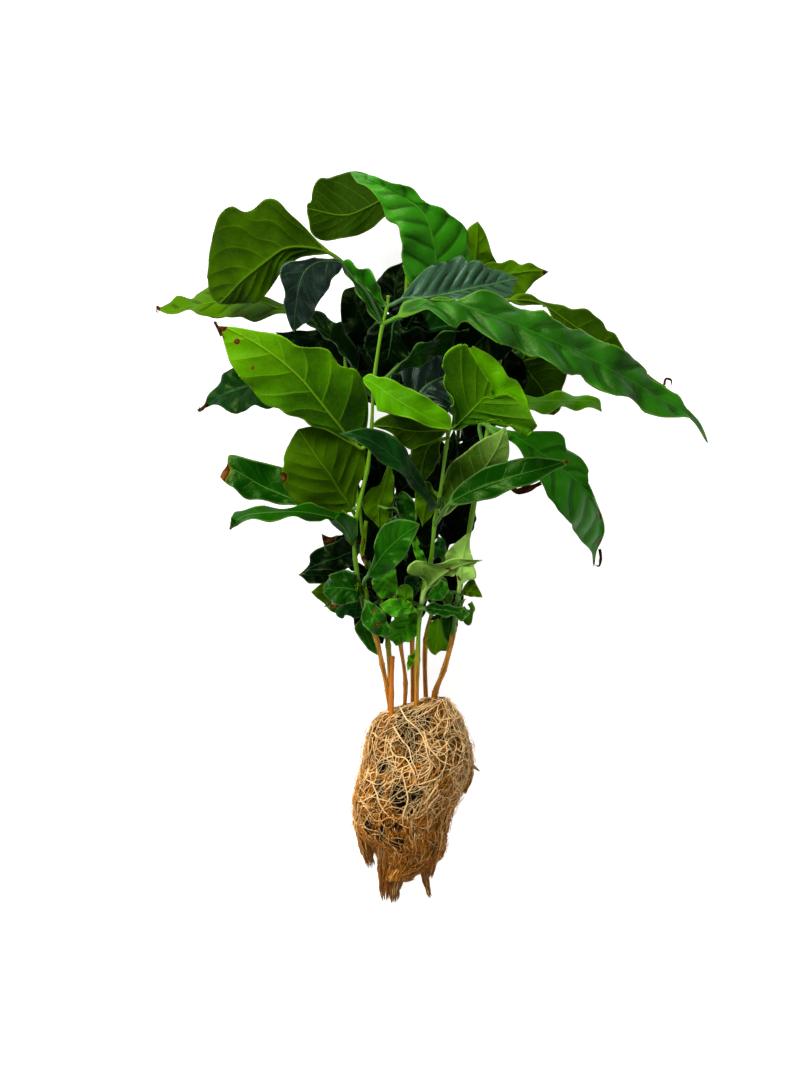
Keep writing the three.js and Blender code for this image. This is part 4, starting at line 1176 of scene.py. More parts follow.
LEAVES = (
    # Crown of the left plant
    Leaf("long_right", "left", 11, S, 14, (0.1, 0.45, 0.9), ((-5.9, 91, 97), (3.9, 94.9, 101),
        (15.7, 90.6, 104), (33.3, 84.3, 105), (51, 76.4, 103), (66.6, 69, 99), (86.2, 58, 92),
        (102.5, 48.1, 86), (109.9, 37.9, 80)), wave=2.0, waves=5, petiole=0.08, broadest=0.47, veins=7,
        quilt=2.8, light=0.44, rib=0.25, slant=1.1),
    Leaf("quilted", "left", 12, G, 14, (0, -0.1, 1), ((-14.6, 92.9, 90), (-10.6, 95.1, 90),
        (-5.9, 95.3, 90), (0, 95.6, 90), (7.9, 97.3, 89), (15.8, 99.1, 88), (23.7, 100.7, 86),
        (29.6, 102.2, 84), (34.7, 103, 83)), veins=9, quilt=1.5, light=0.9, slant=0.9),
    Leaf("upper_left", "left", 12, O, 21, (0.3, 0.3, -0.9), ((-26.8, 99.1, 91), (-33.4, 108.1, 93),
        (-41.2, 113.5, 95), (-48.3, 115.1, 95), (-55, 115.1, 95), (-58.6, 114, 94), (-63.7, 110.5, 92),
        (-69.3, 106.3, 89), (-74.9, 101.8, 85), (-79.8, 96.8, 80), (-83.5, 93.4, 76)), petiole=0.3,
        broadest=0.55, fold=0.3, quilt=0.8, light=0.38, painted_tip_light=0.2, slant=1.2),
    Leaf("dark_hanging", "left", 11, G, 8.5, (0.1, -0.2, 0.97), ((-25.1, 97.5, 94), (-30.6, 103.3, 96),
        (-34.9, 108.6, 99), (-38, 109.3, 101), (-42.3, 109.3, 102), (-46.6, 107.7, 103),
        (-49.7, 104.5, 103), (-51.5, 99.9, 102), (-52.5, 94.1, 99), (-53.4, 87.6, 95), (-53.7, 81.8, 91)),
        petiole=0.42, broadest=0.34, quilt=0.4, light=0.2),
    # Lower leaves of the left plant
    Leaf("lime", "left", 10, L, 8.5, (-0.1, 0.2, 1), ((-26, 63.2, 90), (-22.4, 61.3, 93),
        (-17.7, 58.1, 97), (-12.5, 54.5, 99), (-7.1, 51.4, 100), (-0.8, 47.8, 99), (8.2, 43.6, 96)),
        petiole=0.15, veins=7, quilt=0.3),
    Leaf("big_left", "left", 9, L, 16.5, (-0.1, 0.1, -1), ((-26.9, 36.4, 74), (-30.9, 39.2, 77),
        (-35.5, 44.6, 83), (-43.3, 54.3, 90), (-51.8, 64.4, 95), (-62, 73, 98), (-72.6, 79.7, 97),
        (-79.3, 82.9, 95), (-83.3, 84.1, 94)), petiole=0.05, broadest=0.36, quilt=0.9, light=0.42,
        dry=((1, 0, 6), (0.86, 0.35, 2), (0.7, 0.6, 1.2)), painted_tip_light=0.5),
    Leaf("round_left", "left", 7, O, 17, (0, 0, -1), ((-29.1, 9.2, 62), (-33, 15.5, 66),
        (-36.5, 20.6, 70), (-39.6, 25.8, 74), (-43.5, 30.9, 77), (-47.9, 37.6, 77), (-52.3, 44, 75)),
        petiole=0.04, broadest=0.42, drip=0.2, quilt=0.8, dry=((0.62, 0.98, 3.0), (0.35, 0.98, 2.2))),
    Leaf("left_brown_tip", "left", 7, M, 9, (0, 0.1, 1), ((-35.9, 11.2, 60), (-43, 12.7, 60),
        (-48.6, 13.7, 60), (-53.8, 15.9, 58), (-59.8, 18.3, 57), (-67, 21.5, 56), (-73.8, 25.5, 56),
        (-79, 27.9, 55), (-83.9, 25.2, 54)), petiole=0.14, broadest=0.6, drip=0.2, light=0.1,
        dry=((0.97, 0.4, 9), (1, -0.2, 6))),
    Leaf("left_low", "left", 6, F, 10, (0, 0.93, 0.35), ((-30.7, -2, 61), (-33.4, 4, 65),
        (-37.3, 7.9, 70), (-44.3, 9.9, 76), (-51.3, 10.9, 82), (-59.2, 10.8, 85), (-67.8, 10.3, 86),
        (-73.8, 9.1, 84), (-79.5, 4, 79)), broadest=0.55, drip=0.2, light=0.0, dry=((1, 0, 2.5),),
        painted_tip_light=0.3),
    Leaf("centre_glossy", "left", 4, M, 7.5, (0, 0.1, 1), ((-26.3, -16.4, 56), (-24.7, -14.3, 59),
        (-21.9, -10.3, 64), (-18.3, -5.2, 68), (-13.9, -0.8, 70), (-9.5, 2.8, 71), (-4, 6.3, 71)),
        veins=7, light=0.4, dry=((1, 0, 2.2),)),
    Leaf("low_left_round", "left", 4.4, M, 8, (0, 0, 1), ((-25.5, -20.8, 55), (-29.9, -19.9, 59),
        (-34.3, -19.1, 60), (-38.7, -19.1, 59), (-42.5, -19.4, 56)), veins=5, light=0.3, quilt=1.3,
        wave=1.8),
    Leaf("low_centre_left", "left", 3.8, M, 6, (0, 0, 1), ((-25.5, -23.9, 57), (-23.9, -27.9, 58),
        (-21.5, -31.5, 59), (-18.7, -34.7, 57), (-15.2, -38.3, 54)), veins=5, light=0.4,
        dry=((0.55, 0.2, 1.6), (0.3, -0.3, 1.4)), quilt=1.1, wave=1.8),
    # Right plant
    Leaf("cupped", "right", 8, L, 20, (0.15, 0.2, -0.95), ((10.7, 45.6, 86), (14.1, 48.8, 89),
        (18, 52.8, 92), (21.6, 55.9, 94), (25, 55.5, 95)), fold=-0.1, veins=5, quilt=0.7, light=0.3,
        painted_tip_light=0.3, slant=0.1),
    Leaf("under_lime", "right", 7.5, O, 10, (0, 0, -1), ((6.3, 43, 82), (0.8, 43, 85), (-7.1, 43, 86),
        (-15, 44.5, 86), (-23.7, 45, 84)), light=0.3),
    Leaf("dark_diagonal", "right", 6, D, 6, (0.2, 0.3, 0.95), ((3.2, 13.1, 71), (-0.8, 17.4, 78),
        (-6.3, 24, 86), (-11.8, 29.9, 92), (-17.7, 35, 95), (-24.3, 39.2, 97), (-30.6, 41.2, 97),
        (-36.1, 41.8, 96)), veins=7),
    Leaf("pale", "right", 6, P, 9, (0, 0, -1), ((4.8, 9.5, 68), (8.3, 14.7, 69), (13.1, 20.3, 68),
        (18.7, 25.4, 67), (23.5, 31.4, 65), (27, 37.4, 64), (30.1, 45.4, 62)), veins=7, light=0.1,
        painted_tip_light=1.0),
    Leaf("right_low", "right", 5, M, 6.5, (-0.1, 0.2, 1), ((1.8, 6, 66), (4.4, 9.9, 70), (6.7, 13.5, 73),
        (12.7, 17.4, 76), (19.8, 20.6, 79), (29.6, 24.1, 81), (39.5, 26.9, 81), (48.2, 29.3, 79),
        (55.4, 31.9, 77)), wave=0.8, light=0.15, dry=((1, 0, 5),)),
    Leaf("spoon", "right", 3, P, 7.5, (0, 0.7, -0.7), ((-3.2, -24.7, 60), (-2.2, -20.7, 63),
        (0.4, -17.1, 67), (4, -13.9, 70), (8.7, -11.1, 71), (14.7, -9.1, 71), (21, -7.9, 70)),
        broadest=0.3, veins=5, light=0.36, dry=((0.5, 0.1, 1.6),)),
    Leaf("low_right", "right", 2, M, 5, (0, 0.4, 0.9), ((-3.2, -27.5, 55), (1.2, -27.5, 56),
        (6.4, -28.3, 57), (11.2, -29.1, 58), (15.9, -29.5, 58)), veins=5, light=0.2),
    # Centre plant, behind
    Leaf("crown", "centre", 6, S, 13.3, (0, 0.1, 1), ((-2, 96, 50), (0.8, 103, 55), (2.4, 110.8, 60),
        (1.2, 119.3, 65), (-2.4, 129.5, 68), (-9.9, 135.6, 69), (-17.9, 139.8, 68), (-25.5, 143.3, 62),
        (-32, 147.5, 52)), broadest=0.25, veins=7, quilt=1.1, light=0.65, slant=1.1),
    Leaf("crown_back", "centre", 5.6, O, 15.5, (0, 0, -1), ((-9, 111, 40), (-9.3, 125.5, 37),
        (-12, 135.5, 35), (-16.8, 137.5, 34), (-24.8, 134, 33), (-32, 131, 33), (-38, 131, 32),
        (-44, 132.3, 32), (-49.5, 133.5, 32)), petiole=0.45, broadest=0.7, drip=0, light=0.05),
    Leaf("dark_top", "centre", 5, H, 9, (0, 0, 1), ((-13.7, 84.3, 40), (-13.3, 92.6, 34),
        (-14.1, 100.9, 28), (-10.5, 112.6, 24)), light=0.2),
    Leaf("dark_inner", "centre", 5, D, 13, (0, 0, 1), ((-7.2, 82, 45), (-1.2, 84, 44), (8, 86, 42),
        (20, 86, 38)), quilt=0.7),
    Leaf("dark_narrow", "centre", 5, H, 7, (0.3, -0.4, 0.9), ((-7, 79, 60), (1.6, 79.6, 67),
        (12.8, 83.6, 68))),
    Leaf("back_left_high", "centre", 4, H, 14, (0, 0.2, 1), ((-30, 66, 22), (-48, 72, 8), (-62, 74, 0)),
        light=0.2),
    # Inner plant
    Leaf("dark_left", "inner", 7, D, 5.5, (0.3, 0.3, 0.9), ((-25.5, 59.8, 60), (-27.9, 64.5, 62),
        (-32.6, 71.9, 67), (-37.7, 78.2, 70), (-43.3, 83.3, 70), (-49.6, 86.2, 68)), veins=7, light=0.3),
    Leaf("quilted_dark", "inner", 6.5, G, 15, (0, 0.1, 1), ((-7, 53, 55), (-2, 61, 54), (7, 66, 52),
        (18, 69.5, 50)), quilt=1.3, light=0.2),
    Leaf("olive_centre", "inner", 6, O, 8, (0, 0, -1), ((-15.6, 32.7, 55), (-16.4, 27.9, 57),
        (-18.3, 21.1, 59), (-20.3, 13.5, 60), (-20.3, 4.8, 58)), light=0.95),
    Leaf("dark_centre", "inner", 5, H, 9, (0, 0, 1), ((-8.6, 22.6, 54), (-2, 30, 52), (2, 38, 50)),
        light=0.2),
    Leaf("low_centre_green", "inner", 4, F, 6.5, (0, 0, 1), ((-17.6, -8, 51), (-18, -12.8, 54),
        (-17.6, -18, 55), (-16, -23.4, 52)), veins=5, light=0.7, quilt=1.3, wave=1.8),
    Leaf("low_centre", "inner", 3, F, 7, (0, 0, 1), ((-4.4, -26.5, 44), (-6.8, -30.8, 46),
        (-9.6, -34.8, 47), (-12, -38.9, 46), (-13.6, -42.5, 44)), veins=5, quilt=1.7, light=0.85,
        wave=2.2),
    # Pale plant, back left
    Leaf("far_left", "pale", 7, O, 10, (0, 0.8, 0.6), ((-52.2, 93.1, 42), (-58, 92.5, 48),
        (-62, 92.8, 51), (-65.9, 94.6, 54), (-69.8, 96.2, 56), (-75.8, 95.9, 58), (-81.7, 95.3, 59),
        (-89.6, 94, 61), (-97.6, 92.4, 61), (-104.4, 91.2, 60), (-109.6, 92.1, 58)), quilt=0.6, light=0.8,
        dry=((1, 0, 5),), painted_tip_light=0.1),
    Leaf("dark_level", "pale", 6.6, H, 7, (0, 0.3, 1), ((-24.2, 74.5, 32), (-32.2, 78.6, 32),
        (-40.3, 79.8, 32), (-50.4, 81.4, 31), (-62.5, 83.8, 31)), light=0.6),
    Leaf("left_behind", "pale", 5.6, D, 9.5, (0, 0.5, 0.87), ((-44.2, 58.3, 37), (-50.2, 60.3, 38),
        (-58.3, 61.5, 39), (-65.1, 62.6, 40), (-70.7, 62.2, 40), (-76.3, 60.6, 40), (-83.6, 57.9, 39),
        (-89.3, 54.3, 37), (-94.1, 52.1, 36)), fold=0.3, broadest=0.5, quilt=0.6, dry=((1, 0, 2.2),)),
    Leaf("low_left_dark", "pale", 3, D, 8, (0, 0.2, 1), ((-28.9, -4.4, 43), (-33.3, -5.6, 46),
        (-38, -7.6, 48), (-43.2, -9.2, 48), (-48.1, -11.4, 46), (-52.5, -14, 44)), light=0.2),
    Leaf("low_left_light", "pale", 3, O, 7, (0, 0, -1), ((-28.2, -21.3, 34), (-34.2, -21.3, 34),
        (-41.1, -21.3, 33), (-47.9, -20.9, 32)), veins=5, light=0.6),
    Leaf("low_hanging_left", "pale", 2, F, 4.2, (0, 0, 1), ((-25.7, -29, 36), (-27, -33, 36),
        (-25.7, -37.8, 36), (-23.7, -42.3, 35), (-20.9, -46.5, 34)), veins=5, light=0.4),
    # Back right plant
    Leaf("brown_tip_right", "back_right", 7, O, 9, (0, 0, -1), ((16.1, 100.4, 40), (20.8, 103.8, 44),
        (26.8, 105.7, 48), (34, 106.8, 50), (40.8, 107.6, 50), (47.6, 107.5, 48)), light=0.6,
        dry=((1, 0, 7),)),
    Leaf("olive_up", "back_right", 6.6, O, 9, (0, 0, -1), ((12.1, 86.8, 27), (14.9, 96.9, 27),
        (17.8, 108.1, 28), (18.9, 117.6, 32), (19.3, 128.3, 36)), drip=0.4, light=1.0),
    Leaf("back_right_high", "back_right", 6, M, 14, (0, 0.2, 1), ((30, 74, 16), (50, 80, 6), (68, 82, 0)),
        light=0.2),
    Leaf("low_right_back", "back_right", 1.9, L, 5.4, (0, 0, -1), ((2.8, -29.1, 26), (3.2, -33.9, 27),
        (2.8, -40.4, 28), (2.2, -46.6, 27)), drip=0.2, veins=5, light=0.8),
    # Far right plant
    Leaf("behind_long", "far_right", 9, O, 9.5, (0, 0, -1), ((29.1, 95.3, 59), (35.9, 95.6, 60),
        (42.2, 94.8, 61), (47.8, 92, 62), (55.7, 86.4, 62), (65.7, 79.2, 61), (75.8, 72.6, 58),
        (85.8, 65.5, 55), (94.7, 61.1, 53)), light=0.35, dry=((1, 0, 5),)),
    Leaf("olive_shade", "far_right", 8, O, 12, (0, 0, -1), ((34, 74, 46), (40, 66.8, 42), (45.2, 60, 42),
        (49.6, 50, 44)), light=0.2, dry=((1, 0, 4),)),
    Leaf("right_narrow", "far_right", 7, L, 5.5, (0, 0.75, 0.65), ((21.9, 54.7, 56), (27.9, 53.8, 59),
        (35.8, 54.4, 61), (43.8, 54.9, 62), (51.8, 55.3, 62), (59.8, 55.2, 60), (64.6, 55, 58),
        (68.6, 51.1, 57)), dry=((1, 0, 2),)),
    Leaf("right_hanging", "far_right", 6, M, 9.5, (0.2, 0.1, 1), ((20, 46.3, 53), (25.9, 44.3, 56),
        (31.9, 42.3, 58), (38.7, 38.3, 59), (45.9, 33.5, 58), (52.7, 28.3, 56), (59.2, 22.8, 52),
        (64.1, 17.2, 46), (67.5, 10, 39), (68.5, 3.2, 33), (66.8, -5.2, 27), (66.3, -10.9, 24)), waves=4,
        petiole=0.08, broadest=0.46, veins=7, quilt=1.0, light=0.6,
        dry=((1, 0, 5.5), (0.74, -0.75, 3.6), (0.88, -0.7, 3.0)), slant=1.1),
    Leaf("pale_right", "far_right", 4, P, 6, (0, 0, -1), ((11.6, -20.8, 46), (12, -16.8, 48),
        (12.4, -11.2, 50), (13.6, -4.8, 50), (15.8, 3.2, 50)), veins=5, light=0.9,
        dry=((0.12, 0.3, 1.6),)),
    Leaf("small_right", "far_right", 3.6, O, 5, (0, 0, 1), ((11.2, -22.9, 43), (14.4, -20.8, 44),
        (17.6, -20.8, 44), (21.1, -23.1, 44)), veins=4, light=0.6, dry=((0.2, 0.2, 1.4),)),
    Leaf("low_round", "far_right", 3.9, M, 5, (0, 0, 1), ((-2.8, -20.4, 46), (0.4, -20.4, 48),
        (4, -21.2, 49), (6.4, -23.6, 48), (8, -27.2, 47)), veins=5, light=0.4, quilt=1.1, wave=1.6),
)

# Inner leaves that close the gaps between the stems, the small leaves low down, the wings of two
# stalks, the dried bits, and near-black leaves that paint the deep shade in the clump. They have no
# solids of their own.
SMALL_LEAVES = (
    hidden("inner_upright", "centre", 5.5, D, 11, (-14.4, 87, 51), (-15.5, 80, 53), (-17, 72, 53),
        (-18.5, 65, 51), face=(0.15, 0, 1), quilt=0.9, light=0.3, rib=1.0),
    hidden("inner_high_left", "centre", 5, H, 10, (-18.4, 80.2, 44), (-24.1, 84.2, 43), (-28.1, 91.5, 42),
        (-31.3, 101.6, 40), light=0.4),
    hidden("inner_left", "inner", 7, H, 9, (-16, 56, 56), (-22, 66, 54), (-29, 78, 50), light=0.4),
    hidden("inner_curved", "inner", 7, M, 4.6, (-19.9, 61.8, 60), (-16.7, 65.3, 63), (-11.1, 70.4, 65),
        (-4, 75.1, 67), (4, 78.6, 68), (15.9, 83.8, 69), face=(0.3, -0.6, 0.75), light=0.1, rib=0.3),
    hidden("inner_right", "far_right", 9, H, 12, (26, 86, 66), (18, 77, 68), (8, 68, 66), light=0.4),
    hidden("inner_right_low", "far_right", 8, H, 10, (30, 72, 52), (29, 62, 48), (26, 52, 44), light=0.4),
    hidden("behind_pale", "back_right", 5, H, 8, (16, 42, 36), (22, 46, 38), (28, 48, 38), light=0.4),
    hidden("behind_right_stem", "back_right", 4, H, 9, (10, 22, 36), (14, 32, 38), (18, 42, 38),
        light=0.4),
    hidden("middle_left", "inner", 5, H, 9, (-19, 24, 53), (-22, 36, 53), (-24, 46, 51), light=0.4),
    hidden("middle", "inner", 4, H, 8, (-10, 0, 50), (-2, 6, 50), (7, 12, 48), light=0.4),
    hidden("middle_right", "back_right", 3, H, 6.5, (9, 2, 34), (13, 10, 36), (15, 19, 36), light=0.4),
    hidden("middle_low", "centre", 2, H, 7, (-5, -12, 42), (0, -6, 44), (6, -1, 44), light=0.4),
    hidden("behind_left_stem", "pale", 4, H, 6, (-26, 10, 27), (-25, 0, 26), (-25, -10, 26), light=0.4),
    hidden("middle_strip", "inner", 5, M, 4, (-12, 18, 54), (-9, 10, 55), (-8, 0, 54), light=0.1,
        rib=0.3),
    hidden("olive_middle", "right", 6, O, 5, (0, 20, 62), (-2, 12, 60), (-3.2, 5, 58), face=(0, 0, -1),
        veins=5),
    hidden("olive_behind_stem", "right", 7.5, O, 6, (0, 38, 72), (-3, 30, 70), (-4, 20, 68),
        face=(0, 0, -1), veins=5, light=0.3),
    hidden("green_strip", "right", 3, F, 3, (-2.4, -15.2, 50), (-3.2, -10, 52), (-4.8, -4, 52),
        (-5.6, 2, 51), veins=4, light=0.8),
    hidden("dark_glossy_small", "right", 4, D, 3, (3, -5, 56), (4, -1, 55), (3, 2, 54), veins=4,
        light=0.7),
    hidden("small_pointing_left", "inner", 4.6, M, 2.2, (-13, 8, 58), (-11, 9, 61), (-15, 12, 63),
        (-21, 13.5, 63), veins=4, light=0.2),
    hidden("bright_crinkled", "inner", 3, F, 5.5, (-4.8, -28.8, 52), (-8.8, -27.1, 55),
        (-14.4, -26.7, 57), (-20.2, -25.9, 56), veins=4, quilt=0.8, light=0.8, drip=0.2),
    hidden("bright_upper", "centre", 2, F, 3, (-9.6, -30.4, 52), (-9.8, -26.3, 55), (-10, -21.9, 57),
        (-10.4, -17.6, 57), veins=4, light=0.7, drip=0.2),
    hidden("bluish", "pale", 2, D, 4.6, (-24.9, -26.9, 43), (-28.9, -27.3, 45), (-33.3, -27.6, 46),
        (-37.9, -28.3, 44), veins=4, quilt=0.6, light=0.8),
    hidden("brown_edged", "pale", 2, D, 4.5, (-28, -22, 40), (-35, -24, 40), (-43, -27, 37), veins=4,
        light=0.2, dry=((0.8, -0.9, 3.0), (1, 0, 2.5))),
    hidden("brown_corner", "pale", 3, D, 3.2, (-29.8, -1.6, 37), (-34.2, -0.8, 38), (-38.6, -0.4, 39),
        (-43.6, 2.6, 39), veins=4, light=0.0, dry=((1, 0, 8.0), (0.7, 0, 5.0))),
    hidden("under_low_left_dark", "pale", 2.5, D, 3.6, (-28.9, -13.7, 38), (-34.1, -13.7, 40),
        (-40.9, -14.1, 41), (-47.4, -14.1, 41), (-53, -13.9, 40), veins=4, light=0.3),
    hidden("beside_right_stem", "right", 2, M, 5, (-2.4, -24, 53), (0.4, -22.8, 54), (4, -20.8, 55),
        (7.6, -20, 54), veins=4),
    hidden("between_stems", "right", 3, D, 4, (-6, -16, 50), (-7, -19, 49), (-7, -24, 47), veins=4,
        light=0.6),
    hidden("round_lobe", "far_right", 3, M, 4.5, (11.2, -22.4, 45), (12, -27.2, 47), (14, -30, 48),
        (16.2, -28.8, 48), (16.8, -24.4, 48), veins=4, quilt=0.7, light=0.4, drip=0.1),
    hidden("yellow_foot", "left", 4, O, 2.4, (-25.1, -23.1, 58), (-25.7, -19.9, 60), (-27.1, -18.3, 61),
        (-30.3, -17.9, 61), veins=3, light=0.3),
    hidden("bud", "right", 1.2, L, 1.6, (-7, -47, 42), (-8.2, -50, 42), (-9, -53, 41), veins=3),
    hidden("winged_stalk_upper", "left", 12, M, 4, (-21.2, 95.2, 92), (-25.1, 99.4, 94),
        (-29.1, 103.7, 96), (-32.6, 107.1, 97), (-35.3, 109.1, 97), face=(-0.3, -0.3, 0.9), veins=3,
        rib=1.0),
    hidden("winged_stalk_lower", "left", 11, M, 3, (-22.8, 89.7, 91), (-25.6, 94.3, 93),
        (-28.3, 98.6, 95), (-31, 102.9, 96), (-34.9, 108.3, 96.5), face=(0.3, 0.1, 0.9), veins=3,
        light=0.0, rib=1.0),
    dried("dried_stipule", 1.1, (-25.4, 7.6, 66), (-26.2, 0.8, 66), (-27, -5.6, 66), (-25.4, -11.5, 66),
        petiole=0.1, light=0.2, dry=((1, 0, 9.0), (0.4, 0.5, 1.4))),
    dried("dried_scrap", 1.5, (44, 22.6, 72), (39.6, 20.6, 72), (34.5, 19.4, 72), (30.1, 21.8, 72)),
    dried("curl_behind_long", 0.5, (93.5, 61.9, 54), (94.2, 64.3, 54), (96.2, 63.9, 54),
        (96.2, 61.1, 54)),
    dried("curl_right_hanging", 0.6, (68.6, -3.6, 27), (69, -7.3, 27), (68.2, -10.5, 27),
        (66.2, -9.7, 27)),
    dried("curl_big_left", 0.6, (-82.1, 80.1, 95), (-83.7, 83.7, 95), (-84.8, 85.6, 95),
        (-82.9, 84.8, 95)),
    dried("curl_left_behind", 0.5, (-89.6, 55.1, 38), (-91.2, 52.7, 38), (-92.8, 51.8, 38),
        (-92.4, 53.9, 38)),
    dried("curl_far_left", 0.6, (-107.7, 92.1, 58), (-108.9, 92.9, 58), (-109.6, 91.7, 58),
        (-108.1, 90.5, 58)),
    hidden("behind_crown", "centre", 5, H, 9, (-11.2, 80.9, 47), (-8, 87.3, 47), (-4, 93.3, 47),
        light=0.0),
    hidden("between_left", "pale", 4, H, 6, (-22.6, 28.2, 28), (-23.8, 8.1, 28), (-25, -16.1, 28),
        light=0.3),
    hidden("between_low", "inner", 3, H, 4, (-11.3, -20.9, 38), (-12.1, -12.9, 38), (-11.7, -4.8, 38),
        light=0.3),
    hidden("behind_spoon", "back_right", 2, H, 4, (8.9, -22.5, 34), (8.5, -16.9, 34), (8.1, -10.5, 34),
        light=0.3),
    hidden("behind_pale_base", "right", 6, H, 3.4, (6.8, 31.1, 62), (8.8, 37.4, 62), (9.6, 45.4, 62),
        light=0.3),
    hidden("low_fill_left", "pale", 2, H, 8, (-21.8, -37.9, 30), (-23.4, -26.2, 30), (-24.2, -7.3, 30),
        light=0.6),
    hidden("low_fill_middle", "centre", 1, H, 7.5, (-8.9, -38.7, 30), (-8.5, -24.2, 30), (-8.1, -8.1, 30),
        light=0.6),
    hidden("low_fill_right", "back_right", 1.5, H, 7.5, (7.7, -28.6, 28), (5.2, -18.2, 28), (4, -4, 28),
        light=0.6),
    hidden("middle_fill_left", "pale", 4.4, H, 7, (-21.7, -2, 34), (-19.3, 14.1, 34), (-16.9, 30.2, 34),
        light=0.6),
    hidden("middle_fill_right", "back_right", 4, H, 7, (5.6, 14.1, 36), (4, 28.2, 36), (2.4, 44.2, 36),
        light=0.6),
    hidden("middle_fill_centre", "centre", 1.6, H, 8, (-12.1, -8.1, 30), (-11.3, 8.1, 30),
        (-10.5, 26.2, 30), light=0.6),
    hidden("upper_fill_right", "back_right", 3, H, 6.5, (6.4, 8.1, 34), (4.8, 18.1, 34), (1.6, 28.2, 34),
        light=0.6),
    hidden("left_fill_low", "left", 4.2, H, 3.4, (-27.4, -12.5, 36), (-31.4, -10.5, 36), (-34.6, -8, 36),
        light=0.6),
    hidden("right_fill_low", "far_right", 2.6, M, 3.6, (8.8, -29, 36), (12.1, -25.7, 36),
        (14.9, -23.3, 36), light=0.3),
)

# The right half of the cupped leaf is turned over and shows its bright upper side
TURNED_HALF = Leaf("turned_half", "right", 8, L, 6, (-0.2, 0.1, 0.95), ((18.5, 71.6, 93),
    (21.9, 67.7, 93), (24.1, 63.7, 93), (26.1, 60.4, 92.5), (29.2, 59, 92), (32.6, 57.6, 91.5),
    (35.4, 55.1, 91), (38.2, 50.9, 90.5), (40.5, 47, 90), (42.2, 44.7, 89)), veins=4, light=0.72,
    rib=0.3, start=(14.9, 75.2, 92), solid=False)


class Foliage:
    """All the leaves, each one a piece that stands for its solid where it has one."""

    def __init__(self) -> None:
        """Makes all the leaf finishes."""
        self.finishes = {tone: finish.build() for tone, finish in LEAF_FINISHES.items()}

    def build(self) -> None:
        """Builds every leaf of the table."""
        for leaf in (*LEAVES, *SMALL_LEAVES, TURNED_HALF):
            piece = place_mesh(f"coffee_leaf_{leaf.name}", leaf.mesh(), self.finishes[leaf.tone])
            leaf.tone.slot
            if leaf.solid:
                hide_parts(f"leaf_{leaf.name}")


class Stalks:
    """All the stems."""

    def build(self) -> None:
        """Builds each stem in place of its solid."""
        bark = StemFinish().build()
        for stem in STEMS.values():
            piece = place_mesh(f"coffee_stem_{stem.name}", stem.mesh(), bark)
            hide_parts(f"stem_{stem.name}")


# Roots

# Stations down the plug: height along Y, left and right side in X, middle height and depth
PLUG = np.array([
    (-64.5, -2, 7, 28, 16), (-67, -12, 9.5, 27, 30), (-70, -19.5, 12, 26.5, 35),
    (-73, -22.4, 13.2, 26, 39), (-78, -24.8, 14.6, 24, 43), (-84, -26.2, 16.6, 22.7, 46),
    (-90, -26.8, 17, 21.7, 47), (-96, -28.6, 15.6, 21, 46), (-104, -30.6, 12, 19.4, 44),
    (-112, -30.4, 8, 17.5, 40), (-117, -29.6, 6.5, 16.2, 37), (-121, -27.4, 6, 15, 34),
    (-125, -21.8, 5.6, 13.8, 30), (-129, -20, 4, 12.6, 25), (-133, -19, -1, 11.4, 20),
    (-137, -19, -8, 10.5, 17),
], float)

# Tufts, flap and spur of matted root: radius at the base and at the tip, and the way it runs
TUFTS = (
    (5.0, 2.4, ((-16, -112, 30), (-17.6, -126, 22), (-18, -138, 14), (-17.6, -147.6, 9))),
    (5.0, 2.2, ((-11, -112, 31), (-13, -126, 22), (-14.4, -139, 14), (-14.2, -148.4, 9))),
    (4.5, 2.6, ((-4, -114, 30), (-5.4, -124, 23), (-8.6, -132, 17), (-11.6, -138, 12))),
    (4.4, 2.4, ((-26, -100, 29), (-27, -114, 22), (-26, -124, 17), (-23.2, -134, 12))),
    (3.4, 1.6, ((-28, -104, 22), (-28.2, -116, 18), (-26.6, -129, 12))),
    (4.5, 2.0, ((0, -108, 32), (2, -120, 24), (1.2, -130, 17), (-0.6, -138, 13))),
    (3.6, 1.0, ((-2.4, -122, 20), (-2.4, -134, 14), (0.4, -146, 9))),
    (3.0, 0.5, ((13, -88, 28), (16.8, -91, 25), (20.4, -93.6, 23))),
    (3.6, 1.6, ((15, -88, 26), (15.4, -95, 24), (13.6, -103, 22))),
    (3.6, 2.0, ((7, -98, 31), (5, -110, 26), (4.4, -120, 20), (3, -130, 14))),
    (4.2, 2.4, ((-10, -122, 24), (-12, -134, 17), (-14.6, -144.6, 10))),
    (3.8, 2.2, ((-4, -120, 24), (-7, -131, 17), (-9.6, -139.6, 11))),
    (3.6, 2.0, ((-24, -112, 24), (-25, -122, 18), (-24, -131, 13))),
)

# Thicker pale roots on the side that faces up, in X and Y
RUNNERS = (
    ((-15, -74), (-12, -79.6), (-8.4, -83.6), (-7, -88.4), (-4.8, -94.5)),
    ((-12.4, -66.5), (-10, -71), (-4.8, -75.6), (-2.4, -80.4), (-1, -86.4), (2.8, -91.6)),
    ((-6, -94), (-10, -87.6), (-14, -86.6), (-16, -83.4), (-14.8, -80.4), (-11.6, -78.4)),
    ((-3, -76), (1, -85), (8, -90.4), (13.6, -91)),
    ((-11.6, -92), (-8.8, -104), (-11, -114), (-5.4, -124)),
    ((-23, -98), (-17.6, -110), (-8, -116.4)),
    ((3.4, -98), (-1.4, -106), (-0.4, -118)),
)


@dataclass(frozen=True)
class Strands:
    """One kind of thin root laid over the plug, in millimetres and radians.

    heading is the mean direction, where minus a quarter turn is straight down, and spread is how
    far it varies. curl is how fast a root changes its turning. lift is how far out of the plug's
    face it weaves, low to high. gap is the share that is left out over the plug's dark hollows.
    """

    name: str
    count: int
    length: Vector2
    radius: Vector2
    heights: Vector2
    lift: Vector2
    spread: float
    curl: float
    age: Vector2
    gap: float
    seed: int
    points: int = 20
    sides: int = 4
    heading: float = -1.45


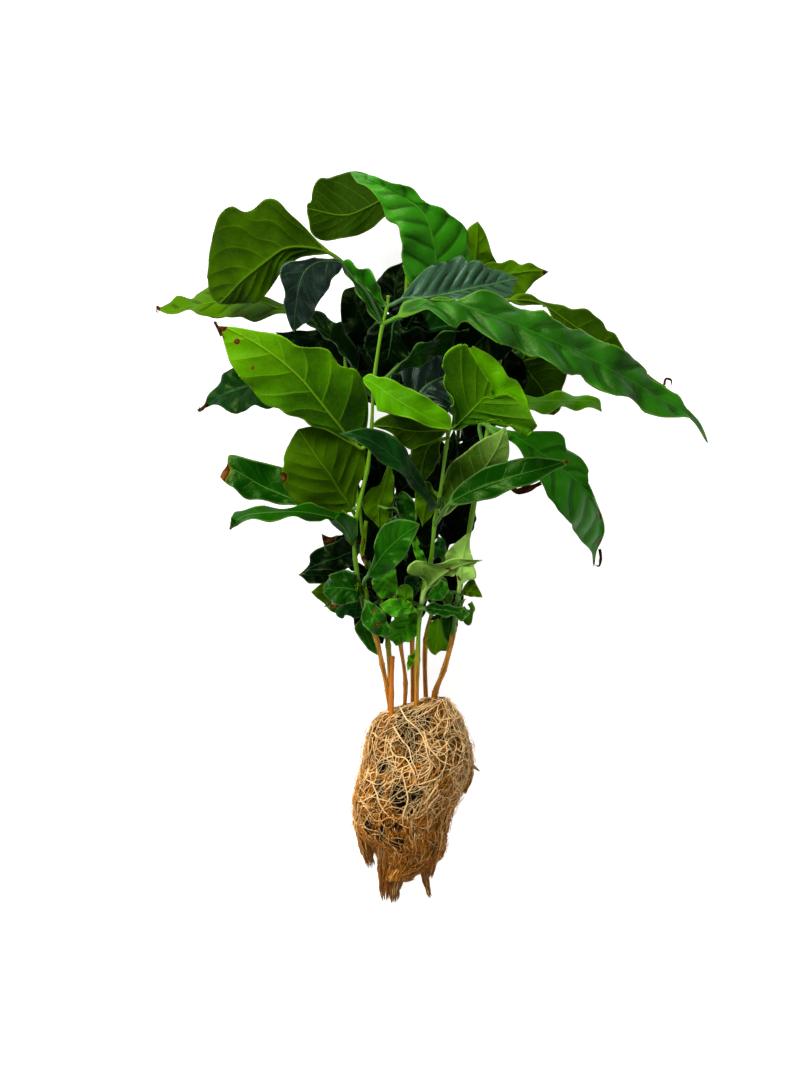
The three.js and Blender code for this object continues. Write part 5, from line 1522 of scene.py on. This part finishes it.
@dataclass(frozen=True)
class RootPlug:
    """The plug of bare roots: a matted core painted dark as shade, with thousands of thin roots
    over it.

    top and bottom are the heights in Y between which roots lie. drawn_in is how deep the core
    lies under the plug's face, and hollow_depth how much deeper it is in a hollow.
    """

    top: float = -63.4
    bottom: float = -138.5
    drawn_in: float = 1.9
    hollow_depth: float = 4.5

    # Hollows on the side that faces up, where the core sinks in and is painted dark as shade:
    # middle in X and Y, and half-sizes
    hollows: tuple[tuple[float, ...], ...] = (
        (-9.5, -72.0, 5.5, 5.0), (-8.5, -80.0, 5.0, 7.0), (-3.5, -73.0, 4.0, 5.0),
        (5.7, -79.5, 3.2, 1.5), (-18.0, -91.0, 4.0, 3.6), (-7.5, -88.0, 3.5, 3.0),
        (-20.5, -101.0, 2.5, 5.0), (-12.2, -103.0, 5.0, 8.0), (-5.6, -103.0, 3.0, 6.0),
        (-8.2, -109.8, 2.4, 3.0), (-14.5, -115.3, 4.5, 1.8), (-19.5, -118.6, 2.4, 4.0),
        (-24.7, -116.0, 1.8, 4.5), (2.0, -124.5, 2.2, 3.5), (-13.0, -122.0, 3.5, 2.5),
    )

    strands: tuple[Strands, ...] = (
        Strands("mat_roots", 1400, (20, 50), (0.16, 0.32), (-64, -134), (-2.4, -0.9), 0.35, 0.05,
                (0.45, 0.95), 1.0, 11, 14),
        Strands("skirt_roots", 950, (14, 32), (0.2, 0.44), (-84, -120), (-1.6, 0.5), 0.16, 0.03,
                (0.3, 0.75), 0.95, 16, 12, 4, -1.57),
        Strands("shred_roots", 620, (7, 17), (0.18, 0.46), (-108, -133), (-0.6, 1.2), 0.24, 0.04,
                (0.0, 0.6), 0.9, 18, 8, 4, -1.57),
        Strands("golden_roots", 420, (22, 60), (0.16, 0.34), (-66, -130), (-1.7, 0.1), 0.6, 0.14,
                (0.25, 0.75), 0.9, 12),
        Strands("cream_roots", 250, (24, 65), (0.17, 0.3), (-67, -104), (-0.9, 0.7), 1.3, 0.22,
                (-0.25, 0.2), 0.25, 13, 30),
        Strands("stray_roots", 190, (18, 46), (0.17, 0.3), (-96, -132), (-0.7, 0.8), 1.1, 0.2,
                (-0.1, 0.35), 0.2, 17, 24),
        Strands("hair_roots", 500, (8, 24), (0.07, 0.13), (-64, -134), (-0.8, 2.0), 1.2, 0.25,
                (0.0, 0.5), 0.0, 14, 12, 3),
    )

    @staticmethod
    def station(height: Array) -> tuple[Array, Array, Array, Array]:
        """Middle in X, half-width, middle in Z and half-depth of the plug at a height along Y.

        Args:
            height: Heights along Y.

        Returns:
            Four arrays of the heights' shape, each a straight line from station to station.
        """
        order = PLUG[::-1]
        left, right, middle, depth = (
            np.interp(height, order[:, 0], order[:, k]) for k in range(1, 5)
        )
        return (left + right) / 2, (right - left) / 2, middle, depth / 2

    def skin(self, height: Array, angle: Array, lift: Array | float) -> Array:
        """Place on the plug: an ellipse at each height, grown by lift.

        Args:
            height: Heights along Y.
            angle: Angles round the plug, with a quarter turn facing up.
            lift: Millimetres out of the plug's face.

        Returns:
            The places.
        """
        centre, half, middle, deep = self.station(height)
        return np.stack([
            centre + (half + lift) * np.cos(angle),
            height,
            middle + (deep + lift) * np.sin(angle),
        ], axis=-1)

    def core(self) -> MeshData:
        """The matted core: the plug drawn in, roughened by two sizes of noise and by long fibres.

        The fibres stand out more towards the foot, and the core sinks in at the hollows.

        Returns:
            The closed skin.
        """
        height = np.linspace(-64.4, -137.5, 150)[:, None]
        angle = np.linspace(0, 2 * np.pi, 190, endpoint=False)[None]
        height, angle = np.broadcast_arrays(height, angle)
        place = self.skin(height, angle, -self.drawn_in)
        hollow = self.hollow(place)
        fibre = ripple_noise(place * np.array([1.0, 0.16, 1.0]), 2.0, 23)
        worn = 1 + 0.8 * smoothstep(-height, 108.0, 132.0)
        rough = 0.6 * ripple_noise(place, 8.0, 21) + 0.4 * ripple_noise(place, 2.4, 22)
        rough = rough + 0.35 * fibre * worn**2
        rings = self.skin(height, angle, -self.drawn_in + rough - self.hollow_depth * hollow)
        age = 0.35 + 0.4 * smoothstep(-rings[..., 1], 70.0, 118.0) + 0.25 * fibre
        # Painted shade: darker where the core lies low between its bumps, darkest in the hollows
        depth = np.clip(0.3 - 0.4 * rough + 1.3 * hollow, 0.0, 1.0)
        value = np.stack([np.zeros_like(age), age, depth], axis=-1)
        ends = np.array([[-4.0, -64.0, 28.0], [-13.0, -139.5, 10.5]])
        return outward(rings_mesh(rings[None], ends[:1], ends[1:], {"root": value[None]}))

    def hollow(self, place: Array) -> Array:
        """How deep in a dark hollow each place is, from 0 to 1: bells with ragged edges.

        Args:
            place: Places in millimetres.

        Returns:
            The depth, which is 0 on the lower side of the plug.
        """
        most = np.zeros(place.shape[:-1])
        for across, along, wide, long in self.hollows:
            far = ((place[..., 0] - across) / wide) ** 2 + ((place[..., 1] - along) / long) ** 2
            most = np.maximum(most, np.exp(-far))
        ragged = most + 0.2 * ripple_noise(place, 4.0, 24)
        return smoothstep(ragged, 0.35, 0.75) * smoothstep(place[..., 2], 20.0, 30.0)

    @staticmethod
    def tubes(centre: Array, outwards: Array, radius: Array, sides: int, value: Array) -> MeshData:
        """Thin roots along many centrelines at once, drawn to a point at both ends.

        Args:
            centre: Places of shape (roots, points, 3).
            outwards: A direction off the plug's face at each place.
            radius: Radius of shape (roots, points).
            sides: Sides of each root.
            value: Corner value of shape (roots, points, 3).

        Returns:
            One mesh.
        """
        forward = unit(np.gradient(centre, axis=1))
        across = unit(np.cross(forward, outwards))
        above = np.cross(across, forward)
        angle = np.linspace(0, 2 * np.pi, sides, endpoint=False)[:, None]
        ring = np.cos(angle) * across[:, :, None] + np.sin(angle) * above[:, :, None]
        rings = centre[:, :, None] + ring * radius[:, :, None, None]
        values = np.broadcast_to(value[:, :, None], rings.shape)
        ends = centre[:, 0], centre[:, -1]
        return rings_mesh(rings[:, 1:-1], *ends, {"root": values[:, 1:-1]})

    def lay(self, kind: Strands) -> MeshData:
        """Lays one kind of thin root: each walks over the plug's face and turns as it goes.

        The rate of turning changes by chance at each step and dies away slowly, which makes long
        arcs. A step goes round the plug by the cosine of the heading and along it by the sine. A
        slow wave lifts and sinks the root.

        Args:
            kind: What the roots are like.

        Returns:
            One mesh with all of them.
        """
        rng = np.random.default_rng(kind.seed)
        shape = (kind.count, kind.points)
        step = rng.uniform(*kind.length, kind.count)[:, None] / kind.points
        heading = kind.heading + rng.normal(0, kind.spread, kind.count)
        rate = np.zeros(kind.count)
        headings = np.empty(shape)
        for number, push in enumerate(rng.normal(0, kind.curl, shape).T):
            rate = 0.8 * rate + push
            heading = heading + rate + 0.03 * (kind.heading - heading)
            headings[:, number] = heading
        start = rng.uniform(kind.heights[1], kind.heights[0], kind.count)[:, None]
        height = start + np.cumsum(step * np.sin(headings), axis=1)
        height = self.top - np.abs(self.top - height)
        height = self.bottom + np.abs(height - self.bottom)
        _, half, _, deep = self.station(height)
        radius_here = np.maximum((half + deep) / 2, 5.0)
        angle = rng.uniform(0, 2 * np.pi, kind.count)[:, None]
        angle = angle + np.cumsum(step * np.cos(headings) / radius_here, axis=1)
        travel = np.linspace(0, 1, kind.points)[None]
        waves = rng.uniform(0.5, 2.2, kind.count)[:, None]
        phase = rng.uniform(0, 1, kind.count)[:, None]
        wave = np.sin(2 * np.pi * (waves * travel + phase))
        lift = lerp(kind.lift[0], kind.lift[1], 0.5 + 0.5 * wave)
        centre = self.skin(height, angle, lift)
        outwards = np.stack([np.cos(angle), np.zeros_like(angle), np.sin(angle)], axis=-1)
        thick = rng.uniform(*kind.radius, kind.count)[:, None] * (1 - 0.45 * travel)
        centre[..., 2] = np.maximum(centre[..., 2], thick)
        age = rng.uniform(*kind.age, kind.count)[:, None] + 0.35 * smoothstep(-height, 95.0, 135.0)
        # Painted shade: a root darkens where it dips into the plug, and over a hollow it thins and
        # darkens
        depth = 0.6 * (1 - (lift - kind.lift[0]) / (kind.lift[1] - kind.lift[0])) ** 2
        sunk = kind.gap * self.hollow(centre)
        thick = thick * (1 - sunk)
        depth = np.maximum(depth, sunk)
        value = np.stack([rng.random(kind.count)[:, None] + 0 * age, age, depth], axis=-1)
        return self.tubes(centre, outwards, thick, kind.sides, value)

    def runners(self) -> MeshData:
        """Thicker pale roots that leave the feet of the stems and wander over the face.

        Each follows its points in X and Y with a small wobble, and lies on the plug's upper face:
        the middle height plus the half-depth times the root of 1 less the share across squared.

        Returns:
            One mesh with all of them.
        """
        parts = []
        share = np.linspace(0, 1, 48)
        for number, path in enumerate(RUNNERS):
            flat = Curve(path).by_length(share)[0]
            places = np.column_stack([flat, 0 * share])
            across = flat[:, 0] + 0.7 * ripple_noise(places, 9.0, 40 + number)
            along = flat[:, 1] + 0.5 * ripple_noise(places, 7.0, 60 + number)
            centre, half, middle, deep = self.station(along)
            bow = np.sqrt(np.clip(1 - ((across - centre) / half) ** 2, 0.05, 1.0))
            lift = 0.5 + 0.3 * np.sin(9.0 * share + number)
            centre = np.column_stack([across, along, middle + deep * bow + lift])
            radius = 0.36 * (1 - 0.4 * share)
            value = np.stack([share, 0.2 * share, 0 * share], axis=-1)
            outwards = np.broadcast_to(np.array([0.0, 0.0, 1.0]), centre.shape)
            parts.append(self.tubes(centre[None], outwards[None], radius[None], 8, value[None]))
        return outward(joined(parts))

    def tufts(self) -> MeshData:
        """Tufts of matted root: bundles of thin roots that follow the tuft and draw together.

        Each root starts somewhere in the first third of the tuft and keeps its distance from the
        middle as a share of the tuft's radius, turning a little about it.

        Returns:
            One mesh with all of them.
        """
        rng = np.random.default_rng(31)
        parts = []
        for base, tip, path in TUFTS:
            count, points = int(44 * base), 12
            first = rng.uniform(0, 0.35, count)[:, None]
            steps = np.linspace(0, 1, points)[None]
            share = first + (1 - first) * steps * rng.uniform(0.6, 1, count)[:, None]
            spine = Curve(path).by_length(share.ravel())[0].reshape(count, points, 3)
            reach = lerp(base, tip, share) * np.sqrt(rng.uniform(0.15, 1.0, count))[:, None]
            turn = rng.uniform(0, 2 * np.pi, count)[:, None]
            turn = turn + 1.5 * rng.normal(size=count)[:, None] * share
            offset = np.stack([np.cos(turn), 0 * turn, np.sin(turn)], axis=-1)
            wobble = 0.5 * ripple_noise(spine + offset * 7.0, 6.0, 51)[..., None]
            centre = spine + offset * (reach - 0.5)[..., None] + offset * wobble
            radius = rng.uniform(0.16, 0.42, count)[:, None] * (1 - 0.4 * share)
            centre[..., 2] = np.maximum(centre[..., 2], radius)
            age = rng.uniform(0.2, 1.0, count)[:, None] + 0 * share
            # Painted shade: a random depth darkens some roots, as if they lay inside the tuft
            depth = 0.6 * rng.random(count)[:, None] ** 2 + 0 * share
            value = np.stack([age, age, depth], axis=-1)
            parts.append(self.tubes(centre, offset, radius, 4, value))
        return outward(joined(parts))

    def build(self) -> None:
        """Builds the core in place of the solid, and lays the roots over it."""
        # The last colour of each finish is the painted shade where roots lie deep
        matted = RootFinish("matted old root", ("#a47026", "#8c560c", "#6a3a06"), "#020100", 0.85)
        washed = RootFinish("washed bare root", ("#dfbe86", "#b4741a", "#8a500a"), "#100700", 0.62)
        core = place_mesh("root_core", self.core(), matted.build())
        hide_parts("root_ball")
        pieces = {kind.name: outward(self.lay(kind)) for kind in self.strands}
        pieces["runner_roots"] = self.runners()
        pieces["tuft_roots"] = self.tufts()
        material = washed.build()
        for name, data in pieces.items():
            place_mesh(name, data, material)


# Studio


@dataclass(frozen=True)
class Studio:
    """Pale floor, soft lights and the camera above.

    A pixel of the photo is photo_pixel wide in millimetres, and photo_middle is the place on the
    table under its middle. The camera is distance above focus_height, and reach is half of the
    floor's width in metres.
    """

    photo_pixel: float = 0.4
    photo_size: tuple[int, int] = (810, 1080)
    photo_middle: Vector2 = (-10.0, 0.0)
    distance: float = 2500.0
    focus_height: float = 50.0
    sensor: float = 36.0
    reach: float = 30.0

    def floor(self) -> None:
        """Wide white table under the clump, lit a little from within so that shadows stay pale."""
        mesh = bpy.data.meshes.new("floor")
        corners = [(x * self.reach, y * self.reach, 0) for x, y in ((-1, -1), (1, -1), (1, 1), (-1, 1))]
        mesh.from_pydata(corners, [], [(0, 1, 2, 3)])
        mesh.materials.append(Recipe("white light table").surfaced({
            "Base Color": colour("#a8a7a5"), "Roughness": 0.9, "Specular IOR Level": 0.0,
            "Emission Color": colour("#ffffff"), "Emission Strength": 0.88,
        }))
        floor = bpy.data.objects.new("floor", mesh)
        bpy.context.scene.collection.objects.link(floor)

    @staticmethod
    def lamp(name: str, place: Vector3, aim: Vector3, size: float, power: float, tint: str) -> None:
        """One square soft light.

        Args:
            name: Its name.
            place: Where it is, in metres.
            aim: Where it looks.
            size: Its width in metres.
            power: Its watts.
            tint: Its colour as a hex code.
        """
        data = bpy.data.lights.new(name, "AREA")
        data.size = size
        data.energy = power
        data.color = colour(tint)[:3]
        light = bpy.data.objects.new(name, data)
        bpy.context.scene.collection.objects.link(light)
        light.location = place
        light.rotation_euler = (Vector(aim) - Vector(place)).to_track_quat("-Z", "Y").to_euler()

    def lights(self) -> None:
        """Key light over the crown's left, weaker ones from the roots and the right, a dim room."""
        self.lamp("key", (-0.66, 0.86, 1.02), (0, 0.02, 0.05), 0.7, 46.0, "#fffaf2")
        self.lamp("front", (0.35, -1.1, 1.5), (0, 0, 0.05), 0.7, 9.0, "#ffffff")
        self.lamp("right", (1.2, 0.1, 0.9), (0, 0, 0.05), 0.6, 4.0, "#ffffff")
        world = bpy.data.worlds.new("room")
        world.use_nodes = True
        background = world.node_tree.nodes["Background"]
        background.inputs["Color"].default_value = colour("#ffffff")
        background.inputs["Strength"].default_value = 0.06
        bpy.context.scene.world = world
        bpy.context.scene.view_settings.view_transform = "Standard"

    def camera(self) -> None:
        """Camera straight above, framed as the photograph is.

        The lens is the sensor times the distance over the height that the frame takes in.
        """
        data = bpy.data.cameras.new("camera")
        data.sensor_width = self.sensor
        data.lens = self.sensor * self.distance / (self.photo_size[1] * self.photo_pixel)
        camera = bpy.data.objects.new("camera", data)
        bpy.context.scene.collection.objects.link(camera)
        across, along = (np.array(self.photo_middle) - BOX_MIDDLE[:2]) * METRE
        camera.location = (across, along, (self.distance + self.focus_height) * METRE)
        data.clip_end = 100.0
        bpy.context.scene.camera = camera


def main() -> None:
    """Loads the frame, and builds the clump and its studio."""
    logging.basicConfig(level=logging.INFO, format="%(message)s")
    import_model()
    Stalks().build()
    Foliage().build()
    RootPlug().build()
    studio = Studio()
    studio.floor()
    studio.lights()
    studio.camera()


if __name__ == "__main__":
    main()
